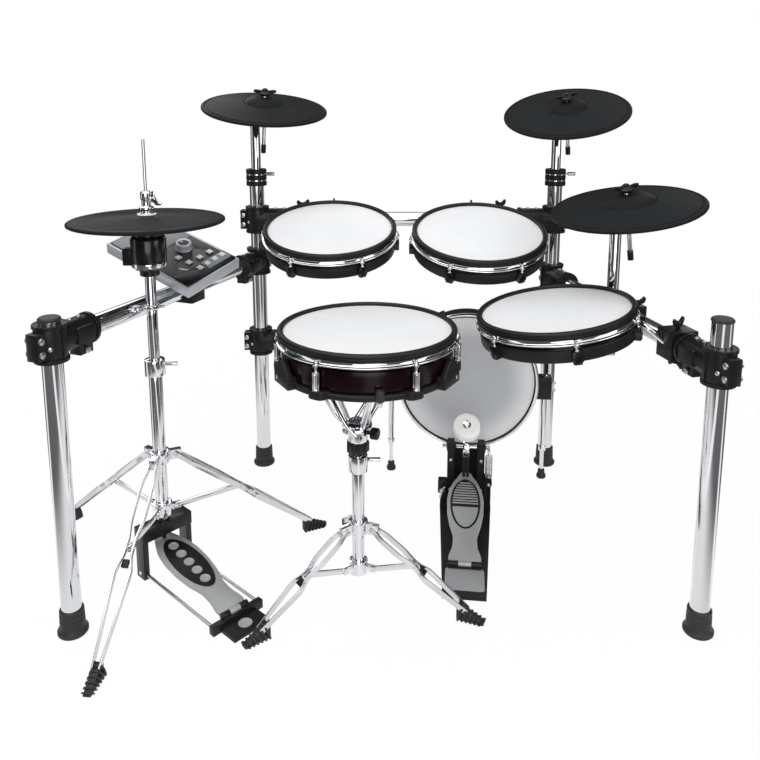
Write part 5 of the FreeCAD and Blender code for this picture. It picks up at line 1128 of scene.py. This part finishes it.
# %% Toms
for name in ("high_tom", "mid_tom", "floor_tom"):
    r, place = DRUMS[name]
    shell = Piece(f"{name}_shell").solids(shell_rule(r, shell_black), 1.4, place)
    band = [(r - 9, -57), (r - 5, -57), (r - 3.6, -55), (r - 3.6, -34), (r - 5.5, -32), (r - 9, -32)]
    shell.add(spun(rounded(band, 0.9, True), 120), band_black, place)
    lug = slab(oblong(r - 7, -8.5, r + 6.5, 8.5, 3.5), -59, -33, 1.4)
    shell.ring(lug, band_black, place, LUGS)
    round_drum(shell, peg(5, -34, -31, 0.6), r, place)
    wing_knob(shell, place @ at(0, r + 6.5, -34, Z=90), 20.0, size=0.9)
    shell.done()
    dress_hoop(name, r, place).done()
    dress_head(name, r, place)

# %% [markdown]
# The snare is deeper. Its rods end in fluted chrome tubes that stand on lobes of the black
# base ring, and the ring carries two angular socket brackets on the player's side.

# %% Snare
r, place = DRUMS["snare"]
Piece("snare_shell").solids(shell_rule(r, burgundy), 1.2, place).done()
snare_hoop = dress_hoop("snare", r, place)
fluted_tube = slab(circle(6.3, 64, waves=8, depth=0.55), -68, -35, 0.6)
ferrules = [peg(7.4, low, low + 3, 0.7, 28) for low in (-36.5, -69.5)]
for form in (fluted_tube, *ferrules):
    round_drum(snare_hoop, form, r, place)
snare_hoop.done()
dress_head("snare", r, place)

# %% Snare base ring
base = Piece("snare_base").solids(band_black, 2.0)
lobe = rounded([(152, -24), (172, -21), (186, -13), (186, 13), (172, 21), (152, 24)], 7.0, True)
base.ring(slab(lobe, -85.5, -69, 1.6), band_black, place, LUGS)
skirt = [(160, -84.5), (174, -84.5), (176.5, -82), (176.5, -75), (174, -72.5), (160, -72.5)]
base.add(spun(rounded(skirt, 1.0, True), 120), band_black, place)
SOCKET = rounded([(-31, -85), (33, -85), (33, -68), (14, -38), (-2, -36), (-31, -66)], 4.0, True)
WINDOW = rounded([(-14, -76), (16, -76), (6, -54), (-2, -54)], 3.0, True)
for heading, flip in ((-30.0, 1.0), (210.0, -1.0)):
    side = place @ at(0, 0, 0, Z=heading + 90, X=90)
    outline = [(flip * x, y) for x, y in SOCKET]
    inset = [(flip * x, y) for x, y in WINDOW]
    base.add(slab(outline, 172.5, 184, 1.6), band_black, side)
    base.add(slab(inset, 183, 185.2, 0.6), nylon, side)
    screw(base, side @ at(flip * 20, -74, 184))
base.done()

# %% [markdown]
# ## Stands
#
# The tripods are pressed steel strip on pinned joints. A leg is two strips that bow apart,
# pinch where the strut is pinned, bow again and close at the foot, so one line of bows is
# thickened and laid on both sides. Each leg ends in a rubber foot with fins across it,
# which shrink towards the toe: a tapering row from the tree over a wedge.

# %% Legs
STANDS = {"hihat": at(-425, -126, 0), "snare": at(7, -216, 0)}
TRIPODS = {
    "hihat": {"heading": 25.0, "reach": 350.0, "collar": 262.0},
    "snare": {"heading": 98.0, "reach": 242.0, "collar": 152.0},
}
PIVOT_OUT = 34.0
FOOT_LIFT = 17.0
BRACED_AT = 0.44
STRIP_OFF, STRIP_HALF = 7.25, 1.25
BOWS = [(-0.022, 0), (0.04, 0), (0.11, 5.5), (0.31, 5.5), (0.39, 0), (0.48, 0), (0.55, 9), (0.97, -1)]


def leg_strips(piece, place, length):
    """Two bowed strips along the place's +X, with their pins and a spacer between them."""
    line = rounded([(share * length, STRIP_OFF + bow) for share, bow in BOWS], 9.0)
    outside = [(spot.x, spot.y + STRIP_HALF) for spot in line]
    inside = [(spot.x, spot.y - STRIP_HALF) for spot in reversed(line)]
    for turn in (0.0, 180.0):
        strip = slab([*outside, *inside], -6.0, 6.0, 0.5)
        piece.add(strip, strip_steel, place @ at(0, 0, 0, X=turn))
    for share, half in ((0.0, 10.0), (BRACED_AT, 9.6)):
        piece.add(peg(2.5, -half, half, 0.8), zinc, place @ at(share * length, 0, 0, X=90))
    piece.add(block(15, 13, 9, 1.0), nylon, place @ at(0.515 * length, 0, -4.5))


def foot(piece, place, reach):
    """A finned rubber foot under the end of a leg that runs along the place's +X."""
    wedge = [(-27, 0), (28, 0), (30, 5), (16, 13), (-6, 24), (-27, 28)]
    piece.add(slab(rounded(wedge, 4.0, True), -7.0, 7.0, 2.0), rubber, place @ at(reach, 0, 0, X=90))
    outline = rounded([(-13.5, 0), (13.5, 0), (13.5, 20), (8, 31), (-8, 31), (-13.5, 20)], 4.0, True)
    fin = moved(slab(outline, -2.0, 2.0, 0.8), at(0, 0, 0, Y=20, Z=90, X=90))
    toes = place @ at(reach - 24, 0, 0.8)
    piece.repeat(fin, rubber, toes, 6, move=(8.6, 0.0, 0.0), growth=(0.0, -0.03, -0.135))


print("legs pinch at", [share for share, bow in BOWS if bow == 0], "of their length")

# %% Tripods
for stand, legs in TRIPODS.items():
    run, fall = legs["reach"] - PIVOT_OUT, legs["collar"] - FOOT_LIFT
    slope = math.degrees(math.atan2(fall, run))
    for index in (1, 2, 3):
        place = STANDS[stand] @ at(0, 0, 0, Z=legs["heading"] + 120.0 * (index - 1))
        leg = Piece(f"{stand}_leg_{index}")
        leg_strips(leg, place @ at(PIVOT_OUT, 0, legs["collar"], Y=slope), math.hypot(run, fall))
        foot(leg, place, legs["reach"])
        leg.done()
        Piece(f"{stand}_strut_{index}").solids(strip_steel, 0.6).done()
    Piece(f"{stand}_stand_tube").solids(chrome, 1.0).done()
    Piece(f"{stand}_collar").solids(chrome, 1.2).done()

# %% [markdown]
# The basket under the snare is bent chrome bar on a hub, with a big nylon knob that
# draws its arms in. Short braces cross from the hub's collar to the arms.

# %% Snare basket
TIPS_FROM = 480.0


def basket_finish(low, high):
    """Rubber tips at the top, chrome arms and stem. The knob and hub are made apart."""
    if low.z > TIPS_FROM:
        return rubber
    return chrome if span(low, high) > 60.0 else None


basket = Piece("snare_basket").solids(basket_finish, 1.0)
stem = STANDS["snare"]
basket.add(slab(circle(22.0, 72, waves=9, depth=1.32), 318, 341, 2.5), nylon, stem)
nut = rounded([(9, 341), (17, 341), (19, 346), (19, 352), (9, 352)], 1.2, True)
hub = rounded([(9.6, 374), (24, 374), (26, 379), (20, 384), (9.6, 384)], 1.5, True)
for section in (nut, hub):
    basket.add(spun(section, 40), chrome, stem)
for index in range(3):
    way = stem @ at(0, 0, 0, Z=38 + 120 * index)
    arm_brace = rounded([(16, 0, 372), (44, 0, 386), (74, 8, 440), (86, 8, 486)], 10.0)
    basket.add(bar(arm_brace, 3.2), chrome, way @ at(0, 7, 0))
    basket.add(peg(7, -9, 9, 1.4), chrome, way @ at(24, 0, 371, X=90))
    cross_brace = rounded([(-12, 24, 356), (16, 24, 380), (62, 12, 446)], 12.0)
    basket.add(bar(cross_brace, 4.0), chrome, way)
    basket.add(peg(6.5, -5, 5, 1.0), zinc, way @ at(-12, 24, 356, X=90))
tilt_knob = rounded([(0, 0), (4, 0), (4, 10), (11, 10), (12, 12), (12, 24), (10, 26), (0, 26)], 1.2)
basket.add(spun(tilt_knob, 32), nylon, stem @ at(18, -4, 360, Z=-20, Y=90))
basket.done()

# %% [markdown]
# ## Hi-hat
#
# The pad hangs on the pull rod by a chrome clutch over a sensor housing. It is flatter
# than the other pads and has fine raised rings, painted paler than the rubber between them
# as a painted sheen where the rings catch the light.
# A groove in a bump would vanish from the side, so each ring is turned as a form. The
# housing is gloss black with a bright band near its foot, on a narrower neck.

# %% Hi-hat pad
stand = STANDS["hihat"]
pad_place = stand @ at(0, 0, 780)
RING_PITCH = 6.4
RINGS_FROM, RINGS_TO = Vector((44, 9.4)), Vector((147, 2.8))


def raised_rings(piece, place):
    """Fine rings down the pad's slope, each a low bank with a flat crown."""
    slope = RINGS_TO - RINGS_FROM
    along = slope.normalized()
    up = Vector((-along.y, along.x))
    for index in range(int(slope.length / RING_PITCH)):
        spot = RINGS_FROM + along * RING_PITCH * index
        foot_line, crown = spot - up * 0.4, spot + up * 0.5
        rise = [foot_line - along * 0.9, crown - along * 0.5]
        fall = [crown + along * 0.5, foot_line + along * 0.9]
        # Each ring gets the paler rubber, a painted sheen where it catches the light.
        piece.add(spun([*rise, *fall], 112), ring_rubber, place)


hat = Piece("hihat_pad")
dome = rounded([(3.6, 11), (26, 11), (40, 9.6)], 3.0)
edge = rounded([(149, 2.6), (153, 2.4), (157, 0.2), (157, -4), (153, -5.6), (149, -4)], 1.2)
under = [(32, 5), (26, -11.4), (3.6, -11.4)]
hat.add(spun([*dome, *edge, *under], 120), pad_rubber, pad_place)
raised_rings(hat, pad_place)
print("rings every", RING_PITCH, "mm")

# %% Clutch
clutch = [(3.4, 11.2), (16, 11.2), (16, 15), (11, 17), (11, 19), (15, 20), (15, 27), (9.5, 29), (9.5, 42)]
clutch += [(11.5, 44), (11.5, 56), (8, 60), (3.4, 60)]
hat.add(spun(rounded(clutch, 0.8, True), 40), chrome, pad_place)
hat.add(sleeve(15, 19, 11.1, 13.5, 0.6, 40), felt, pad_place)
wing_knob(hat, pad_place @ at(8, 0, 38, Y=62), 6.0, chrome, 0.85)
hat.done()

# %% Sensor housing
upper = Piece("hihat_upper_tube")
upper.solids(lambda low, high: chrome if high.z - low.z > 200.0 else None, 0.8)
neck = [(11.2, 664), (19, 664), (20, 665.5), (20, 676), (28, 678), (31, 682), (33.5, 683.5)]
can = [(33.5, 693), (35.5, 694), (36, 696), (36, 741), (33.5, 746), (29, 748), (29, 752), (4, 752)]
upper.add(spun([*neck, *can, (4, 664)], 88), shell_black, stand)
upper.add(sleeve(33, 35.4, 683.6, 692.8, 0.8, 88), chrome, stand)
upper.add(block(22, 23, 35, 2.0), nylon, stand @ at(-41, 0, 686))
upper.add(peg(6, -2, 1.5, 0.6), zinc, stand @ at(-52, 0, 702, Y=-90))
lock = rounded([(11.2, 0), (15.5, 0), (17, 2), (17, 8), (15.5, 10), (11.2, 10)], 0.8, True)
upper.add(spun(lock, 40), chrome, stand @ at(0, 0, 592))
upper.add(bar([(14, 0, 597), (26, 0, 597)], 3.2), zinc, stand)
upper.done()

# %% [markdown]
# ## Hi-hat pedal
#
# The footboard is a waisted plate with a raised black oval, set with a row of separate
# round studs. It hinges on a black heel plate and lifts a short chain at its toe.

# %% Hi-hat footboard
hat_pedal = stand @ at(0, 0, 0, Z=137)
board_place = hat_pedal @ at(-255, 0, 20, Y=-10.2)
HAT_HALF = [(6, 31), (20, 31), (46, 26), (74, 26), (110, 36), (148, 41)]
HAT_HALF += [(190, 41.5), (226, 36), (252, 26), (272, 17), (275, 12)]


def footboard(node, half, barrel, place):
    """A waisted plate that hinges on a barrel at its heel. Half its outline is given."""
    outline = [*half, *((x, -y) for x, y in reversed(half))]
    board = Piece(node).add(slab(rounded(outline, 7.0, True), -4, 4, 1.4), board_silver, place)
    hinge = sleeve(3.1, 7, -barrel, barrel, 0.8, 32)
    return board.add(hinge, board_silver, place @ at(0, 0, 0, X=90))


def oval(long, wide):
    return [(long * x, wide * y) for x, y in circle(1.0, 72)]


board = footboard("hihat_footboard", HAT_HALF, 12.2, board_place)
board.add(slab(oval(85, 33), 3.2, 4.7, 0.6), casting, board_place @ at(162, 0, 0))
stud = spun(rounded([(0, 4.4), (11, 4.4), (11, 6.2), (8.6, 6.2), (7.6, 5.6), (0, 5.6)], 0.5), 40)
board.repeat(stud, board_silver, board_place @ at(102, 0, 0), 5, move=(30.0, 0.0, 0.0))
link = slab(oblong(-4.6, -3.2, 4.6, 3.2, 1.6), 0, 4.4, 0.6)
chain_foot = board_place @ at(260, 0, 4.2)
board.repeat(link, nylon, chain_foot, 3, move=(0.0, 0.0, 5.2), turn=(0.0, 0.0, 90.0))
board.done()

# %% Hi-hat pedal frame
pedal_frame = Piece("hihat_pedal_frame").solids(
    lambda low, high: zinc if (high - low).y < 10.0 else casting, 1.4, hat_pedal
)
plate_stud = spun(rounded([(0, 8.8), (14, 8.8), (14, 10.4), (11, 10.4), (10, 9.8), (0, 9.8)], 0.5), 40)
pedal_frame.add(plate_stud, board_silver, hat_pedal @ at(-290, 0, 0))
for side in (-1.0, 1.0):
    for height in (100.0, 12.0):
        screw(pedal_frame, hat_pedal @ at(0, side * 60, height, X=-90 * side))
pedal_frame.done()

# %% [markdown]
# ## Kick tower
#
# The tower is a short drum on its side with a grey mesh head, on two telescopic spurs.
# Its pedal has a black base plate with two towers, a grey footboard with grip bars, a
# double chain, a felt beater and a coiled return spring.

# %% Kick drum
kick = at(280, 224, 0, Z=-6.5)
drum = kick @ at(0, 0, 295, X=-90)
KICK_REACH = 172.4
KICK_JACK = [(0, -0.5), (7, -0.5), (7, 2.2), (4.4, 2.2), (4.4, 0.6), (0, 0.6)]
kick_shell = Piece("kick_shell")
kick_shell.solids(lambda low, high: shell_black if span(low, high) > 200.0 else foam, 1.4)
for reach in (60.0, 112.0, 158.0):
    kick_shell.add(sleeve(reach, reach + 4, 87.4, 89.4, 0.7, 112), band_black, drum)
kick_shell.add(block(52, 34, 2.4, 0.8), nylon, drum @ at(0, 86, 87.6))
for x in (-12.0, 12.0):
    kick_shell.add(spun(KICK_JACK, 28), zinc, drum @ at(x, 86, 89.6))
kick_shell.done()

# %% Kick hoop and head
kick_hoop = Piece("kick_hoop")
kick_hoop.solids(lambda low, high: nylon if span(low, high) < 100.0 else None, 1.2)
ring = rounded([(175.6, -5.2), (180, -6), (184, -2), (184, 8), (181, 11), (175.6, 11)], 1.4, True)
kick_hoop.add(spun(ring, 128), chrome, drum)
seal = rounded([(172.2, -1), (173.4, -3.6), (175.8, -3.6), (175.8, 4), (172.2, 4)], 0.6, True)
kick_hoop.add(spun(seal, 128), nylon, drum)
kick_hoop.done()
kick_skin = Piece("kick_head", "kick_skin")
kick_skin.add(peg(KICK_REACH, 0.2, 0.8, steps=128), mesh_grey, drum)
stretch(kick_skin.done(slot="mesh"), KICK_REACH)

# %% Spurs
SPUR = [(0, 22), (5.4, 22), (5.4, 76), (7.2, 78), (9.6, 80), (9.6, 92), (8, 94), (8, 292), (0, 292)]
SPUR_FOOT = [(0, 0), (11.5, 0), (13, 3), (12.4, 9), (9.5, 14), (9, 23), (7.4, 25.5), (0, 25.5)]
spurs = Piece("kick_spurs").solids(
    lambda low, high: nylon if 50.0 < span(low, high) < 100.0 else None, 2.0, kick
)
for x in (-206.0, 206.0):
    place = kick @ at(x, 72, 0)
    spurs.add(spun(rounded(SPUR, 0.8), 32), chrome, place)
    spurs.add(spun(rounded(SPUR_FOOT, 1.2), 32), rubber, place)
    out = math.copysign(1, x)
    wing_knob(spurs, place @ at(16 * out, 0, 262, Y=90 * out), 3.0, zinc, 0.7)
spurs.done()

# %% Kick pedal base
base = Piece("kick_pedal_base").solids(casting, 1.4)
base.add(slab(oblong(-42, -464, 42, -389, 7.0), 15.0, 18.0, 1.0), board_silver, kick)
AXLE_CAP = rounded([(5.4, -11), (12, -11), (13, -9), (13, 9), (12, 11), (5.4, 11)], 0.8, True)
for x in (-38.0, 38.0):
    base.add(spun(AXLE_CAP, 36), nylon, kick @ at(x, -78, 150, Y=90))
    for height in (120.0, 40.0):
        screw(base, kick @ at(x, -93, height, X=90))
base.add(block(24, 26, 34, 3.0), casting, kick @ at(-58, -80, 26))
wing_knob(base, kick @ at(-58, -93, 40, X=90, Z=70), 8.0, zinc, 0.9)
base.add(block(20, 46, 14, 3.0), casting, kick @ at(56, -90, 62))
screw(base, kick @ at(57, -113, 68, X=90))
base.done()

# %% Kick footboard and chain
KICK_HALF = [(5, 36), (20, 36), (46, 28), (78, 27), (112, 36), (150, 42.5)]
KICK_HALF += [(192, 44), (226, 40), (254, 30), (276, 18), (291, 12)]
GRIP_LONG, GRIP_WIDE = 82.0, 36.0
board_place = kick @ at(0, -378, 20, X=13.04, Z=90)
grip_place = board_place @ at(182, 0, 0)
board = footboard("kick_footboard", KICK_HALF, 14.2, board_place)
board.add(slab(oval(GRIP_LONG, GRIP_WIDE), 3.2, 4.6, 0.5), casting, grip_place)
smooth_part = [(x, y) for x, y in oval(GRIP_LONG - 5, GRIP_WIDE - 5) if x < -8.0]
board.add(slab(smooth_part, 3.6, 5.6, 0.6), board_silver, grip_place)
for index in range(9):
    x = -1.0 + 8.6 * index
    half = (GRIP_WIDE - 5) * math.sqrt(1.0 - ((x + 2) / (GRIP_LONG - 4)) ** 2)
    board.add(block(4.4, 2 * half, 2.2, 0.7), board_silver, grip_place @ at(x, 0, 3.6))
for x in (-4.6, 4.6):
    link = slab(oblong(-3.4, -3.0, 3.4, 3.0, 1.8), 0, 4.3, 0.6)
    board.repeat(link, nylon, kick @ at(x, -109, 78), 12, move=(0.0, 0.0, 5.0))
board.done()

# %% Beater
beater_place = kick @ at(0, -78, 150, X=45)
beater = Piece("kick_beater")
beater.solids(lambda low, high: chrome if span(low, high) > 80.0 else None, 0.8, beater_place)
disc = [(4.2, 117), (24, 117), (29.5, 119.5), (32, 125), (32, 145), (29.5, 150.5), (24, 153), (4.2, 153)]
beater.add(spun(rounded(disc, 2.0, True), 64), felt, beater_place)
bolt = [(0, 152.5), (10, 152.5), (10, 154.2), (6.6, 154.6), (6.2, 158.4), (3.6, 158.4)]
bolt += [(2.8, 156.4), (0, 156.4)]
beater.add(spun(rounded(bolt, 0.5), 36), zinc, beater_place)
beater.done()

# %% [markdown]
# The spring hangs between the tower and the beater's lever, and stretches as the beater swings.
# It is fixed to no body; its place is baked into its mesh.

# %% Return spring
SPRING_TALL, SPRING_REACH, SPRING_WIRE = 55.4, 8.0, 1.25
HOOK = [(SPRING_REACH, 0), (5, 3), (0, 5), (0, 10)]
spring_low = kick @ at(57, -108, 87.2)
spring = Piece("kick_spring")
winding = {"Turns": 12.0, "Radius": SPRING_REACH, "Height": SPRING_TALL, "Wire": SPRING_WIRE}
spring.add(grow(WIND, None, Finish=zinc, **winding), zinc, spring_low)
for end, way in ((0.0, -1.0), (SPRING_TALL, 1.0)):
    hook = rounded([(x, 0, end + rise * way) for x, rise in HOOK], 2.0)
    spring.add(bar(hook, SPRING_WIRE, 10), zinc, spring_low)
coil = spring.done(rides=False)
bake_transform(coil)

# %% [markdown]
# ## Sound module
#
# A silver case with a panel that is grey at the top and black below. A dished dial, soft
# keys with a small square on each and a grey strip along the near edge make its face.

# %% Case and panel
module = at(-427, 60, 677, Z=59.3, X=16.2, Y=-14.9)
JACK = [(0, -1), (6.5, -1), (6.5, 1.6), (4.2, 1.6), (4.2, -0.4), (0, -0.4)]
case = Piece("module_case").solids(case_silver, 2.2)
for y in (-60.0, -20.0, 20.0, 60.0):
    case.add(spun(JACK, 28), zinc, module @ at(80, y, -16, Y=90))
case.done()


INSIDE_BELOW = -1.0


def panel_finish(low, high):
    """The plate itself. The board below it is left rough, and the keys are made apart."""
    if high.z < INSIDE_BELOW or span(low, high) < 20.0:
        return None
    return panel_black


panel = Piece("module_panel").solids(panel_finish, 0.7, module)
panel.solids(lambda low, high: nylon if high.z < INSIDE_BELOW else None, 0.0, module)
upper = [(-71, 16), (-4, 16), (6, 22), (42, 22), (52, 16), (71, 16), (71, 123), (-71, 123)]
panel.add(slab(rounded(upper, 6.0, True), -0.6, 0.7, 0.3), strip_grey, module)
near_strip = oblong(19.6, -116, 71, -87, 0.5)
around_key = [(19.7, -87), (2, -87), (2, -116), (19.7, -116)]
around_key += [(19.7, -105.6), (4.4, -105.6), (4.4, -90.6), (19.7, -90.6)]
for outline in (near_strip, around_key):
    panel.add(slab(outline, 3.4, 4.5, 0.2), strip_grey, module)
slot = oblong(-11, -2.2, 11, 2.2, 2.0)
panel.add(slab(slot, -0.4, 0.7, 0.2), mark_white, module @ at(-36, -74, 0, Z=-62))
print("panel strips laid")

# %% Keys
KEYS = [(35.2, -98.1, 4), (58.4, -98.1, 4), (-12.8, -31.8, 0)]
KEYS += [(-10.4, -62.3, 0), (20.8, -64.9, 0), (52, -64.9, 0)]


def key(piece, x, y, base):
    """A soft key with a small raised square on its top."""
    spot = module @ at(x, y, base)
    piece.add(block(13, 13, 3.4, 0.9), key_grey, spot)
    piece.add(block(5, 5, 0.6, 0.2), mark_white, spot @ at(0, 0, 3.3))


for x, y, base in KEYS:
    key(panel, x, y, base)
panel.done()

# %% Dial and moving keys
dial = Piece("module_dial")
side = [(0, -2.8), (20, -2.8), (20, 2), (18.6, 3.4), (18.2, 14), (17, 16.8), (15, 17.2), (12.5, 15)]
dial.add(spun(rounded([*side, (0, 14.2)], 0.8), 64), case_silver, module @ at(24, -10.6, 0))
dial.add(spun([(0, 14), (12, 14.6), (12, 15.1), (0, 14.7)], 48), panel_black, module @ at(24, -10.6, 0))
dial.add(block(2, 9, 1.4, 0.3), mark_white, module @ at(24, -2.6, 14.4))
dial.done()
for index, (x, y) in enumerate(((-11.2, -98.1), (12.0, -98.1)), start=1):
    button = Piece(f"module_button_{index}")
    key(button, x, y, 2.8)
    button.done()

# %% [markdown]
# ## Size
#
# The box of the dressed kit, without the floor, is printed. The dressed kit must stay
# in the measured box.

# %% Print the dressed kit's box
low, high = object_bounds()
print("visual box", [round(value, 3) for value in (*low, *high)])
